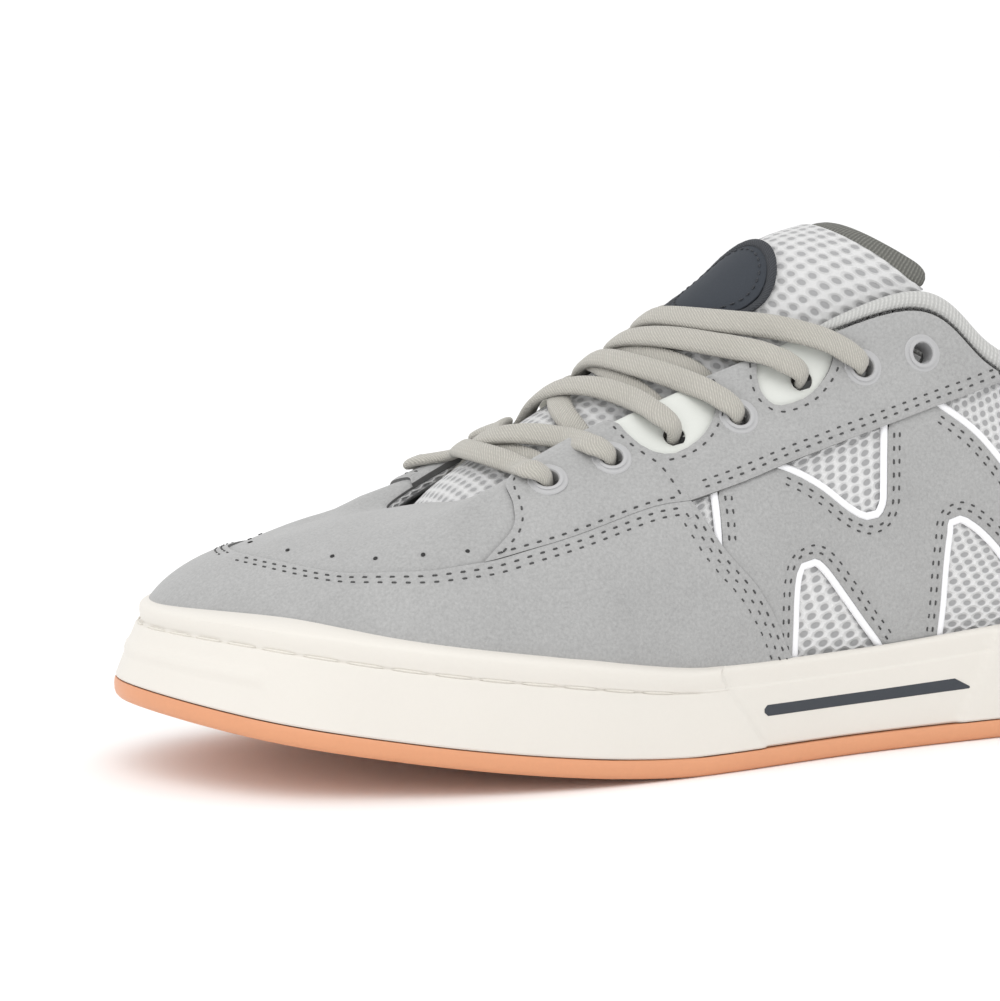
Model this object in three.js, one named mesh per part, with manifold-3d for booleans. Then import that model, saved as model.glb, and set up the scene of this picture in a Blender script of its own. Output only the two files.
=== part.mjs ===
// A left skateboarding shoe. Millimetres, +Z up. The toe points along +X, the outer side of the foot
// is +Y, and the origin lies on the ground at half the length of the sole.
import * as THREE from 'three';
import { mergeVertices } from 'three/addons/utils/BufferGeometryUtils.js';
import Module from 'manifold-3d';

const wasm = await Module();
wasm.setup();

// Main sizes of the last and the sole
const LENGTH = 300;
const BALL_WIDTH = 110;
const INSTEP_HEIGHT = 107;
const RIM_HEIGHT = 31;
const TOE_SPRING = 17.5;
const SPRING_START = 30;
const SPRING_POWER = 1.4;

// Thicknesses and clearances
const GAP = 0.3;
const OUTSOLE = 4.5;
const CUP_FLOOR = 6.9;
const CUP_EDGE = 5;
const RIM_LEAN = 6;
const UPPER_WALL = 2.5;
const OVERLAY = 1.2;
const TAB = 0.7;
const COLLAR = 9;
const COLLAR_RISE = 3.5;
const OVERLAY_TUCK = 2;
const RIM_GAP = 0.5;
const INSOLE = 4;

// Steps and grooves of the side of the sole
const SIDE_STEP = 1;
const STITCH_GROOVE = 0.8;
const STRIPE_DEPTH = 1;
const TREAD_DEPTH = 1.8;
const TREAD_WIDTH = 2.6;
const TREAD_MARGIN = 9;
const TREAD_CHEVRON = 7;

// Lacing
const EYELET = 9.5;
const EYELET_HOLE = 5.2;
const EYELET_BARREL = 0.7;
const EYELET_FLANGE = 0.9;
const LACE_WIDTH = 6;
const LACE_THICKNESS = 2.6;

// Tongue
const TONGUE_PAD = 11;
const PATCH = 31;
const PATCH_THICKNESS = 1;
const WEBBING = 8;
const WEBBING_THICKNESS = 1.4;

const BASE_DEPTH = OVERLAY + GAP;
const FLOOR_TOP = OUTSOLE + GAP + CUP_FLOOR;
const FOOT = FLOOR_TOP + GAP;

// Eighteen stations round the sole, from the back of the heel along the outer side to the toe tip and
// back along the inner side. along: share of LENGTH, across: share of BALL_WIDTH, rim: height of the
// sole's side as a share of RIM_HEIGHT, lean: how far the rim leans in as a share of RIM_LEAN.
const AROUND = [
  { along: -0.500, across: 0.000, rim: 1.000, lean: 0.25 },
  { along: -0.462, across: 0.262, rim: 0.984, lean: 0.25 },
  { along: -0.355, across: 0.375, rim: 0.952, lean: 0.17 },
  { along: -0.205, across: 0.380, rim: 0.887, lean: 0.17 },
  { along: -0.055, across: 0.412, rim: 0.800, lean: 0.17 },
  { along: 0.090, across: 0.483, rim: 0.800, lean: 0.17 },
  { along: 0.210, across: 0.507, rim: 0.861, lean: 0.17 },
  { along: 0.335, across: 0.450, rim: 0.865, lean: 0.33 },
  { along: 0.440, across: 0.303, rim: 0.855, lean: 0.58 },
  { along: 0.500, across: -0.060, rim: 0.758, lean: 1.00 },
  { along: 0.455, across: -0.345, rim: 0.806, lean: 1.00 },
  { along: 0.350, across: -0.465, rim: 0.865, lean: 0.33 },
  { along: 0.215, across: -0.492, rim: 0.855, lean: 0.17 },
  { along: 0.070, across: -0.420, rim: 0.806, lean: 0.17 },
  { along: -0.070, across: -0.345, rim: 0.806, lean: 0.17 },
  { along: -0.210, across: -0.345, rim: 0.887, lean: 0.17 },
  { along: -0.355, across: -0.372, rim: 0.952, lean: 0.17 },
  { along: -0.462, across: -0.262, rim: 0.984, lean: 0.25 },
];

// The upper's outer face above the same stations, as a curve from its foot in the sole to its top edge.
// inset: share of CUP_EDGE. x: share of LENGTH, y, bulge, reach: shares of BALL_WIDTH,
// z, rise, fall: shares of INSTEP_HEIGHT, pad: share of the collar's padding.
const WALL = [
  { inset: 0.9, x: -0.457, y: 0.000, z: 0.850, rise: 0.243, bulge: 0.020, reach: 0.022, fall: 0.224, pad: 1.00 },
  { inset: 0.9, x: -0.427, y: 0.173, z: 0.832, rise: 0.243, bulge: 0.018, reach: 0.018, fall: 0.224, pad: 1.00 },
  { inset: 0.9, x: -0.360, y: 0.273, z: 0.757, rise: 0.224, bulge: 0.018, reach: 0.009, fall: 0.187, pad: 0.95 },
  { inset: 1.0, x: -0.273, y: 0.300, z: 0.738, rise: 0.206, bulge: 0.027, reach: 0.018, fall: 0.150, pad: 0.85 },
  { inset: 1.0, x: -0.197, y: 0.291, z: 0.869, rise: 0.224, bulge: 0.036, reach: 0.027, fall: 0.187, pad: 0.60 },
  { inset: 1.0, x: -0.130, y: 0.255, z: 1.000, rise: 0.280, bulge: 0.045, reach: 0.055, fall: 0.243, pad: 0.20 },
  { inset: 0.9, x: 0.013, y: 0.218, z: 0.869, rise: 0.262, bulge: 0.045, reach: 0.127, fall: 0.150, pad: 0 },
  { inset: 0.8, x: 0.147, y: 0.191, z: 0.729, rise: 0.206, bulge: 0.036, reach: 0.182, fall: 0.084, pad: 0 },
  { inset: 1.0, x: 0.230, y: 0.164, z: 0.607, rise: 0.121, bulge: 0.018, reach: 0.236, fall: 0.056, pad: 0 },
  { inset: 1.2, x: 0.253, y: 0.000, z: 0.570, rise: 0.065, bulge: 0.018, reach: 0.309, fall: 0.037, pad: 0 },
  { inset: 1.0, x: 0.263, y: -0.164, z: 0.561, rise: 0.112, bulge: 0.018, reach: 0.236, fall: 0.047, pad: 0 },
  { inset: 0.8, x: 0.167, y: -0.182, z: 0.682, rise: 0.187, bulge: 0.036, reach: 0.182, fall: 0.075, pad: 0 },
  { inset: 0.9, x: 0.017, y: -0.209, z: 0.860, rise: 0.262, bulge: 0.045, reach: 0.127, fall: 0.150, pad: 0 },
  { inset: 1.0, x: -0.130, y: -0.255, z: 1.000, rise: 0.280, bulge: 0.045, reach: 0.055, fall: 0.243, pad: 0.20 },
  { inset: 1.0, x: -0.197, y: -0.300, z: 0.907, rise: 0.224, bulge: 0.036, reach: 0.027, fall: 0.187, pad: 0.60 },
  { inset: 1.0, x: -0.273, y: -0.309, z: 0.813, rise: 0.206, bulge: 0.027, reach: 0.018, fall: 0.150, pad: 0.85 },
  { inset: 0.9, x: -0.360, y: -0.273, z: 0.804, rise: 0.224, bulge: 0.018, reach: 0.009, fall: 0.187, pad: 0.95 },
  { inset: 0.9, x: -0.427, y: -0.173, z: 0.832, rise: 0.243, bulge: 0.018, reach: 0.018, fall: 0.224, pad: 1.00 },
];
const STATIONS = AROUND.length;
const TOE = STATIONS / 2;

// Sections of the tongue from under the toe piece to its top edge. x: share of LENGTH, z, drop: shares
// of INSTEP_HEIGHT, half: share of BALL_WIDTH, pad: share of TONGUE_PAD, tilt: degrees.
const TONGUE = [
  { x: 0.307, z: 0.481, tilt: 12, half: 0.136, drop: 0.037, pad: 0.22 },
  { x: 0.267, z: 0.512, tilt: 18, half: 0.145, drop: 0.050, pad: 0.25 },
  { x: 0.236, z: 0.598, tilt: 25, half: 0.155, drop: 0.084, pad: 0.45 },
  { x: 0.183, z: 0.704, tilt: 28, half: 0.168, drop: 0.121, pad: 0.60 },
  { x: 0.120, z: 0.807, tilt: 31, half: 0.178, drop: 0.145, pad: 0.70 },
  { x: 0.060, z: 0.918, tilt: 34, half: 0.186, drop: 0.160, pad: 0.80 },
  { x: 0.010, z: 1.019, tilt: 38, half: 0.192, drop: 0.173, pad: 0.90 },
  { x: -0.040, z: 1.117, tilt: 42, half: 0.198, drop: 0.196, pad: 1.00 },
  { x: -0.087, z: 1.156, tilt: 50, half: 0.205, drop: 0.230, pad: 1.00 },
];

// Catmull-Rom value of one column, round a closed table or along an open one
function column(rows, key, at, closed) {
  const n = rows.length;
  const i = Math.floor(at);
  const t = at - i;
  const pick = (k) => rows[closed ? ((k % n) + n) % n : Math.min(n - 1, Math.max(0, k))][key];
  const [a, b, c, d] = [pick(i - 1), pick(i), pick(i + 1), pick(i + 2)];
  return 0.5 * (2 * b + (c - a) * t + (2 * a - 5 * b + 4 * c - d) * t * t + (3 * b - a - 3 * c + d) * t * t * t);
}

const clamp = (value, low, high) => Math.min(high, Math.max(low, value));
const ease = (t) => { const k = clamp(t, 0, 1); return k * k * (3 - 2 * k); };

// Height of the ground side of the sole: flat under heel and ball, rising to the toe
function spring(x) {
  const span = (x - SPRING_START) / (LENGTH / 2 - SPRING_START);
  return TOE_SPRING * Math.pow(Math.max(0, span), SPRING_POWER);
}

function solePlan(q) {
  return new THREE.Vector2(column(AROUND, 'along', q, true) * LENGTH, column(AROUND, 'across', q, true) * BALL_WIDTH);
}

function solePlanOut(q) {
  const step = 0.001;
  const along = solePlan(q + step).sub(solePlan(q - step)).normalize();
  return new THREE.Vector2(-along.y, along.x);
}

// A point of the sole's side. height: 0 at the top of the outsole, 1 at the rim.
function soleSide(q, height, out = 0) {
  const plan = solePlan(q);
  const outward = solePlanOut(q);
  const lean = column(AROUND, 'lean', q, true) * RIM_LEAN * clamp(height * 3, 0, 1);
  const bottom = OUTSOLE + GAP;
  const top = column(AROUND, 'rim', q, true) * RIM_HEIGHT;
  plan.addScaledVector(outward, out - lean);
  return new THREE.Vector3(plan.x, plan.y, spring(plan.x) + bottom + (top - bottom) * height);
}

// A point of the upper's visible face. v: 0 at the foot, 1 at the top edge, and straight on past it.
function shell(q, v) {
  const row = (key) => column(WALL, key, q, true);
  const plan = solePlan(q);
  const out = solePlanOut(q);
  const foot = plan.clone().addScaledVector(out, -row('inset') * CUP_EDGE);
  const start = new THREE.Vector3(foot.x, foot.y, spring(foot.x) + FOOT);
  const end = new THREE.Vector3(row('x') * LENGTH, row('y') * BALL_WIDTH, row('z') * INSTEP_HEIGHT);
  const bulge = row('bulge') * BALL_WIDTH;
  const first = start.clone().add(new THREE.Vector3(out.x * bulge, out.y * bulge, row('rise') * INSTEP_HEIGHT));
  const away = new THREE.Vector2(start.x - end.x, start.y - end.y).normalize().multiplyScalar(row('reach') * BALL_WIDTH);
  const second = end.clone().add(new THREE.Vector3(away.x, away.y, -row('fall') * INSTEP_HEIGHT));
  const curve = new THREE.CubicBezierCurve3(start, first, second, end);
  if (v <= 1) return curve.getPoint(v);
  return end.addScaledVector(end.clone().sub(second), 3 * (v - 1));
}

function shellNormal(q, v) {
  const step = 0.002;
  const low = Math.min(v, 1 - step);
  const round = shell(q + step, low).sub(shell(q - step, low));
  const up = shell(q, low + step).sub(shell(q, low));
  return up.cross(round).normalize();
}

const shellPoint = (q, v, depth) => shell(q, v).addScaledVector(shellNormal(q, v), -depth);

// v at a height above the ground side of the sole, and v at a distance below the top edge
function upAtHeight(q, height) {
  let [low, high] = [0, 0.7];
  for (let k = 0; k < 24; k += 1) {
    const mid = (low + high) / 2;
    const point = shell(q, mid);
    if (point.z - spring(point.x) < height) low = mid;
    else high = mid;
  }
  return low;
}

function upBelowTop(q, drop) {
  const step = 0.01;
  return 1 - (drop * step) / shell(q, 1).distanceTo(shell(q, 1 - step));
}

const rimHeight = (q) => column(AROUND, 'rim', q, true) * RIM_HEIGHT;
const tuckUp = (q) => upAtHeight(q, rimHeight(q) - OVERLAY_TUCK);

// The knitted collar runs along the top edge from one eyestay round the heel to the other
const COLLAR_FRONT = 5.5;
const COLLAR_BLEND = 0.5;
function collarShare(q) {
  const fromHeel = Math.min(q, STATIONS - q);
  return ease((COLLAR_FRONT + COLLAR_BLEND - fromHeel) / COLLAR_BLEND);
}

const edgeUp = (q) => upBelowTop(q, (COLLAR_RISE + 3 * GAP) * collarShare(((q % STATIONS) + STATIONS) % STATIONS));

const PAD_START = 0.55;
const PAD_FULL = 0.85;
function wallDepth(q, v) {
  const padding = (COLLAR - UPPER_WALL - BASE_DEPTH) * column(WALL, 'pad', q, true);
  return UPPER_WALL + padding * ease((v - PAD_START) / (PAD_FULL - PAD_START));
}

// Solids
function solidOf(geometry) {
  const bare = geometry.clone();
  bare.deleteAttribute('normal');
  bare.deleteAttribute('uv');
  const merged = mergeVertices(bare, 1e-4);
  const mesh = new wasm.Mesh({
    numProp: 3,
    vertProperties: new Float32Array(merged.attributes.position.array),
    triVerts: new Uint32Array(merged.index.array),
  });
  return new wasm.Manifold(mesh);
}

function geometryOf(solid) {
  const mesh = solid.getMesh();
  const geometry = new THREE.BufferGeometry();
  geometry.setAttribute('position', new THREE.BufferAttribute(new Float32Array(mesh.vertProperties), 3));
  geometry.setIndex(new THREE.BufferAttribute(new Uint32Array(mesh.triVerts), 1));
  geometry.computeVertexNormals();
  return geometry;
}

function solidFromFaces(points, faces) {
  const geometry = new THREE.BufferGeometry();
  geometry.setAttribute('position', new THREE.Float32BufferAttribute(points.flatMap((p) => [p.x, p.y, p.z]), 3));
  geometry.setIndex(faces.flat());
  return solidOf(geometry);
}

// A wall between two grids of points with the same rows and columns: outside[i][j] faces out when
// i runs round the shoe and j runs up.
function wallSolid(outside, inside, closed) {
  const across = outside.length;
  const up = outside[0].length;
  const points = [...outside.flat(), ...inside.flat()];
  const at = (layer, i, j) => layer * across * up + (i % across) * up + j;
  const faces = [];
  const quad = (a, b, c, d) => faces.push([a, b, c], [a, c, d]);
  const spans = closed ? across : across - 1;
  for (let i = 0; i < spans; i += 1) {
    for (let j = 0; j < up - 1; j += 1) {
      quad(at(0, i, j), at(0, i, j + 1), at(0, i + 1, j + 1), at(0, i + 1, j));
      quad(at(1, i, j), at(1, i + 1, j), at(1, i + 1, j + 1), at(1, i, j + 1));
    }
    quad(at(0, i, up - 1), at(1, i, up - 1), at(1, i + 1, up - 1), at(0, i + 1, up - 1));
    quad(at(0, i, 0), at(0, i + 1, 0), at(1, i + 1, 0), at(1, i, 0));
  }
  if (!closed) {
    for (let j = 0; j < up - 1; j += 1) {
      quad(at(0, 0, j), at(1, 0, j), at(1, 0, j + 1), at(0, 0, j + 1));
      quad(at(0, across - 1, j), at(0, across - 1, j + 1), at(1, across - 1, j + 1), at(1, across - 1, j));
    }
  }
  return solidFromFaces(points, faces);
}

// A solid from closed loops laid on one another, with both ends closed by rungs from side to side
function stackSolid(loops) {
  const n = loops[0].length;
  const faces = [];
  loops.slice(1).forEach((_, k) => {
    for (let i = 0; i < n; i += 1) {
      const j = (i + 1) % n;
      const [low, high] = [k * n, (k + 1) * n];
      faces.push([low + i, high + i, high + j], [low + i, high + j, low + j]);
    }
  });
  const last = (loops.length - 1) * n;
  for (let i = 0; i < n / 2; i += 1) {
    const [a, b, c, d] = [i, i + 1, (n - i - 1) % n, (n - i) % n];
    if (b !== c) faces.push([a, b, c], [last + a, last + c, last + b]);
    if (a !== d) faces.push([a, c, d], [last + a, last + d, last + c]);
  }
  return solidFromFaces(loops.flat(), faces);
}

// A prism through the overlays whose outline is drawn in (q, v) between rails of points
const CUT_OUT = 2.5;
const CUT_IN = 3.5;
function railPrism(rails, steps) {
  const curves = rails.map((rail) => new THREE.SplineCurve(rail.map(([q, v]) => new THREE.Vector2(q, v))));
  const layer = (depth) => Array.from({ length: steps + 1 }, (_, i) => curves.map((curve) => {
    const { x: q, y: v } = curve.getPoint(i / steps);
    return shellPoint(q, v, depth);
  }));
  const front = rails[0][0][0] < rails[0][rails[0].length - 1][0];
  return front ? wallSolid(layer(-CUT_OUT), layer(CUT_IN), false) : wallSolid(layer(CUT_IN), layer(-CUT_OUT), false);
}

// A prism whose outline is one closed line of (q, v) points
function outlinePrism(line) {
  const flat = line.map(([q, v]) => new THREE.Vector2(q, v));
  const ordered = THREE.ShapeUtils.isClockWise(flat) ? [...line].reverse() : line;
  const caps = THREE.ShapeUtils.triangulateShape(ordered.map(([q, v]) => new THREE.Vector2(q, v)), []);
  const n = ordered.length;
  const points = [CUT_IN, -CUT_OUT].flatMap((depth) => ordered.map(([q, v]) => shellPoint(q, v, depth)));
  const faces = [];
  caps.forEach(([a, b, c]) => faces.push([a, b, c], [n + a, n + c, n + b]));
  for (let i = 0; i < n; i += 1) {
    const j = (i + 1) % n;
    faces.push([i, n + i, n + j], [i, n + j, j]);
  }
  return solidFromFaces(points, faces);
}

// The other side of the shoe: the same place, counted back from the heel
const inner = (line) => line.map(([q, v]) => [STATIONS - q, v]);

// The grid that the upper and every overlay share, so that their faces stay parallel
const UPS = [0, 0.15, 0.33, 0.55, 0.78, 1];
const BEND = 1.5;
const BEND_COLUMNS = 4;
const SIDE_COLUMNS = 10;
const halfQ = [
  ...Array.from({ length: BEND_COLUMNS }, (_, i) => (i * BEND) / BEND_COLUMNS),
  ...Array.from({ length: SIDE_COLUMNS }, (_, i) => BEND + (i * (TOE - 2 * BEND)) / SIDE_COLUMNS),
  ...Array.from({ length: BEND_COLUMNS }, (_, i) => TOE - BEND + (i * BEND) / BEND_COLUMNS),
];
const gridQ = [...halfQ, TOE, ...halfQ.slice(1).reverse().map((q) => STATIONS - q)];
const COLUMNS = gridQ.length;

function gridWall(outer, innerDepth, past = 0) {
  const layer = (depth) => gridQ.map((q) => UPS.map((share) => {
    const v = share * edgeUp(q) + (share === 1 ? past : 0);
    const point = shellPoint(q, v, depth(q, v));
    if (share === 0) point.z = spring(point.x) + FOOT;
    return point;
  }));
  return wallSolid(layer(outer), layer(innerDepth), true);
}

const overlaySheet = gridWall(() => 0, () => OVERLAY);
const tabSheet = gridWall(() => OVERLAY - TAB, () => OVERLAY);
const PAST_EDGE = 0.012;
const clearOfUpper = gridWall(() => -GAP, (q, v) => BASE_DEPTH + wallDepth(q, v) + GAP, PAST_EDGE);

// Lace holes of the outer side from the toe up: place on the upper, and whether a metal or plastic
// ring sits there or a smooth tab
const HOLES = [
  { q: 6.88, v: 0.720, tab: false },
  { q: 6.52, v: 0.735, tab: false },
  { q: 6.19, v: 0.765, tab: true },
  { q: 5.82, v: 0.760, tab: false },
  { q: 5.54, v: 0.825, tab: true },
  { q: 5.18, v: 0.810, tab: false },
  { q: 4.77, v: 0.850, tab: false },
];

// A frame on the upper: x runs forward, y is the outward normal
function frameAt(q, v, depth = 0) {
  const y = shellNormal(q, v);
  const x = new THREE.Vector3(1, 0, 0).addScaledVector(y, -y.x).normalize();
  const z = new THREE.Vector3().crossVectors(x, y);
  return new THREE.Matrix4().makeBasis(x, y, z).setPosition(shellPoint(q, v, depth));
}

// A pin that stands in the upper from one depth to another. Depths count inwards.
const ROUND = 8;
const BARREL_ROUND = 6;
const PIN_OUT = -5;
const PIN_IN = 6;
function pinAt(q, v, radius, around, from, to) {
  const pin = new THREE.CylinderGeometry(radius, radius, to - from, around);
  return solidOf(pin.applyMatrix4(frameAt(q, v, (from + to) / 2)));
}

// Every hole goes through the upper, and each ring's flange has a seat of its own on the eyestay
const holes = [...HOLES.map((hole) => ({ ...hole, side: 'lateral' })),
  ...HOLES.map((hole) => ({ ...hole, q: STATIONS - hole.q, side: 'medial' }))];
const EYELET_SEAT = 2 * GAP;
const barrelRadius = EYELET_HOLE / 2 + EYELET_BARREL;
const barrelRoom = (barrelRadius + GAP / 2) / Math.cos(Math.PI / BARREL_ROUND);
const allPins = holes.map(({ q, v, tab }) => (tab
  ? pinAt(q, v, EYELET_HOLE / 2, ROUND, PIN_OUT, PIN_IN)
  : pinAt(q, v, barrelRoom, BARREL_ROUND, PIN_OUT, PIN_IN))).reduce((sum, pin) => sum.add(pin));
const allSeats = holes.filter(({ tab }) => !tab)
  .map(({ q, v }) => pinAt(q, v, EYELET / 2 + GAP, ROUND, PIN_OUT, GAP - EYELET_SEAT))
  .reduce((sum, seat) => sum.add(seat));

function upperSolid() {
  return gridWall(() => BASE_DEPTH, (q, v) => BASE_DEPTH + wallDepth(q, v)).subtract(allPins);
}

// Seams of the outer side in (q, v). The overlays on the two sides of a seam keep SEAM_UP and
// SEAM_ALONG clear of its line.
const SEAM_UP = 0.004;
const SEAM_ALONG = 0.018;
const TOE_SEAM = [[5.80, 0.538], [6.01, 0.540], [6.49, 0.484], [6.90, 0.452], [7.19, 0.454], [7.82, 0.515],
  [8.36, 0.539], [9, 0.525]];
const MUD_SEAM = [[4.43, 0.090], [4.70, 0.235], [4.96, 0.309], [5.38, 0.405], [5.80, 0.538]];
const TOE_SIDE_SEAM = [[6.90, 0.452], [6.86, 0.55], [6.98, 0.64], [7.28, 0.79], [7.47, 0.92], [7.66, 1.05]];
const EYESTAY_JOINT = [[5.80, 0.538], [6.12, 0.664], [6.38, 0.757], [6.56, 0.84], [6.70, 0.92], [6.88, 1.05]];
const EYESTAY_SEAM = [[5.80, 0.538], [5.51, 0.563], [5.31, 0.590], [5.06, 0.622], [4.71, 0.682], [4.21, 0.808],
  [3.90, 0.885]];
const shifted = (line, along, up) => line.map(([q, v]) => [q + along, v + up]);
const mirrored = (line) => [...line, ...inner(line).reverse().slice(1)];
const mix = (a, b, t) => [a[0] + (b[0] - a[0]) * t, a[1] + (b[1] - a[1]) * t];

// The toe piece lies between the toe seam and the throat, with the front eyestays at its sides
const THROAT_TOP = 1.05;
function vampSolid() {
  const start = shifted(TOE_SIDE_SEAM, 2 * SEAM_ALONG, SEAM_UP);
  const seam = TOE_SEAM.slice(4).map(([q, v]) => [q, v + 2 * SEAM_UP]);
  const rails = start.map((from, k) => {
    const t = (from[1] - start[0][1]) / (THROAT_TOP - start[0][1]);
    const rest = k ? seam.slice(1).map(([q, v]) => [Math.max(q, mix(from, [TOE, 0], 0.25)[0]), v]) : seam;
    return mirrored([from, ...rest.map(([q, v]) => mix([q, v], [q, THROAT_TOP], t))]);
  });
  return overlaySheet.intersect(railPrism(rails, 12));
}

// The mudguard wraps the toe below the seam and slants back to the sole on each side
const MUD_LEVELS = [0, 0.35, 0.5, 0.75, 1];
function mudguardSolid() {
  const ends = shifted(MUD_SEAM, SEAM_ALONG, 0);
  const top = TOE_SEAM.slice(1);
  const rails = MUD_LEVELS.map((t, k) => {
    const rest = top.map(([q, v]) => [q, v - SEAM_UP]).map((point) => mix([point[0], tuckUp(point[0])], point, t));
    const from = t === 0 ? [ends[0][0], tuckUp(ends[0][0])] : [ends[k][0], ends[k][1] - (t === 1 ? SEAM_UP : 0)];
    return mirrored([from, ...rest]);
  });
  return overlaySheet.intersect(railPrism(rails, 2 * TOE_SEAM.length));
}

// Front eyestay: the first two holes, between the toe piece and the eyestays' joint
function eyestayFrontSolid(side) {
  const start = shifted(TOE_SIDE_SEAM, -SEAM_ALONG, SEAM_UP);
  const end = shifted(EYESTAY_JOINT, SEAM_ALONG, SEAM_UP);
  const foot = [TOE_SEAM[2], TOE_SEAM[1]].map(([q, v]) => [q, v + 2 * SEAM_UP]);
  const rails = start.map((from, k) => {
    const between = k === 0 ? foot : [mix(from, end[k], 0.4), mix(from, end[k], 0.7)];
    return side([from, ...between, end[k]]);
  });
  return overlaySheet.intersect(railPrism(rails, 6)).subtract(allPins).subtract(allSeats);
}

// Smooth tabs round the third and fifth holes, let into the rear eyestay from the throat's edge. The
// first one's front side is the eyestays' joint.
const TAB_LINES = [
  [...shifted(EYESTAY_JOINT, -SEAM_ALONG, SEAM_UP).slice(2).reverse(), [6.24, 0.712], [6.10, 0.690], [6.00, 0.715],
    [6.00, 0.80], [6.12, 0.90], [6.28, 1.05]],
  [[5.93, 1.05], [5.86, 0.90], [5.72, 0.80], [5.58, 0.755], [5.46, 0.758], [5.40, 0.80], [5.44, 0.90], [5.60, 1.05]],
];
// Rough lengths of one station and of the whole rise of the wall, to offset a line in (q, v) evenly
const STATION_STEP = 16;
const WALL_RISE = 75;
function grown(line, by) {
  const points = line.map(([q, v]) => new THREE.Vector2(q * STATION_STEP, v * WALL_RISE));
  const turn = THREE.ShapeUtils.isClockWise(points) ? -1 : 1;
  return points.map((point, i) => {
    const before = points[(i + points.length - 1) % points.length];
    const after = points[(i + 1) % points.length];
    const [a, b] = [point.clone().sub(before).normalize(), after.clone().sub(point).normalize()];
    const out = new THREE.Vector2(a.y + b.y, -a.x - b.x).normalize().multiplyScalar(by * turn);
    return [(point.x + out.x) / STATION_STEP, (point.y + out.y) / WALL_RISE];
  });
}

function tabSolid(line, side) {
  return tabSheet.intersect(outlinePrism(side(line))).subtract(allPins);
}

// Rear eyestay: from the joint up to the collar and back to its tip on the ankle
const REAR_TIP = 3.80;
const REAR_FRONT = 6.3;
function eyestayRearSolid(side) {
  const start = shifted(EYESTAY_JOINT, -SEAM_ALONG, SEAM_UP);
  const foot = shifted(EYESTAY_SEAM, 0, SEAM_UP).slice(1);
  const rails = start.map((from, k) => {
    const t = k / (start.length - 1);
    const topAt = (i) => REAR_FRONT - ((REAR_FRONT - REAR_TIP) * i) / (foot.length - 1);
    const rest = foot.map(([q, v], i) => mix([q, v], [topAt(i), THROAT_TOP], t));
    return side([from, ...rest]);
  });
  const piece = overlaySheet.intersect(railPrism(rails, 8));
  const tabs = TAB_LINES.map((line) => outlinePrism(side(grown(line, 2 * GAP))));
  return tabs.reduce((rest, cut) => rest.subtract(cut), piece).subtract(allPins).subtract(allSeats);
}

// Windows of the zigzag side panel, through which the mesh of the upper shows
const WINDOWS = [
  [[5.90, 0.60], [5.655, 0.57], [5.40, 0.41], [5.36, 0.37], [5.60, 0.40], [5.90, 0.50]],
  [[5.36, 0.60], [4.97, 0.528], [4.60, 0.483], [4.43, 0.474], [4.35, 0.485], [4.35, 0.515], [4.60, 0.625], [4.76, 0.72],
    [5.06, 0.70]],
  [[4.40, 0.03], [4.46, 0.139], [4.55, 0.223], [4.73, 0.345], [4.74, 0.365], [4.66, 0.378], [4.55, 0.366],
    [4.27, 0.304], [4.03, 0.231], [3.86, 0.163], [3.70, 0.03]],
  [[3.48, 0.03], [3.53, 0.188], [3.59, 0.296], [3.76, 0.481], [3.79, 0.512], [3.72, 0.529], [3.58, 0.518],
    [3.35, 0.472], [2.95, 0.33], [2.70, 0.25], [2.30, 0.03]],
];
const PANEL_REAR = [[2.25, 0.10], [2.48, 0.326], [2.90, 0.521], [3.55, 0.685], [4.42, 0.745]];
function sidePanelSolid(side) {
  const front = shifted(MUD_SEAM, -SEAM_ALONG, -SEAM_UP);
  const top = shifted(EYESTAY_SEAM, 0, -SEAM_UP).slice(1, 5);
  const rails = front.map((from, k) => {
    const to = PANEL_REAR[k];
    if (k === 0) return [from[0], 4.0, 3.5, 3.0, 2.6, to[0]].map((q) => [q, tuckUp(q)]);
    if (k === front.length - 1) return [from, ...top, to];
    return [0, 0.2, 0.4, 0.6, 0.8, 1].map((t) => mix(from, to, t));
  });
  const piece = overlaySheet.intersect(railPrism(rails.map((rail) => side(rail)), 8));
  return WINDOWS.reduce((rest, line) => rest.subtract(outlinePrism(side(line))), piece);
}

// Heel counter: round the back between the sole and the collar, with a point below the topline.
// Each row is the front corner of the counter at one level and the level at the back of the heel.
const COUNTER_FRONT = [
  { q: 2.02, v: null, back: null },
  { q: 2.30, v: 0.422, back: 0.40 },
  { q: 2.60, v: 0.628, back: 0.65 },
  { q: 3.02, v: 0.870, back: THROAT_TOP },
];
function heelCounterSolid() {
  const rails = COUNTER_FRONT.map(({ q: reach, v, back }) => {
    const half = [0, 0.35, 0.6, 0.8, 1].map((t) => {
      const q = reach * t;
      return [q, v === null ? tuckUp(q) : back + (v - back) * t ** 4];
    });
    return [...half].reverse().map(([q, up]) => [-q, up]).concat(half.slice(1));
  });
  return overlaySheet.intersect(railPrism(rails, 12));
}

// Knitted collar: a rounded roll on the top edge, as thick as the padding below it
function collarSolid() {
  const steps = 28;
  const section = (pad) => [[0.3, -1], [0.7, 0], [-0.6, 0.8], [-pad / 2, 1.05], [-pad + 0.4, 0.6], [-pad, -1]];
  const rings = Array.from({ length: steps + 1 }, (_, i) => {
    const q = COLLAR_FRONT - (2 * COLLAR_FRONT * i) / steps;
    const top = shell(q, 1);
    const outward = shellNormal(q, 1);
    const up = top.clone().sub(shell(q, 0.99)).normalize();
    const pad = BASE_DEPTH + wallDepth(q, 1);
    return section(pad).map(([out, rise]) => top.clone().addScaledVector(outward, out)
      .addScaledVector(up, rise * COLLAR_RISE));
  });
  return tubeSolid(rings);
}

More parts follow.
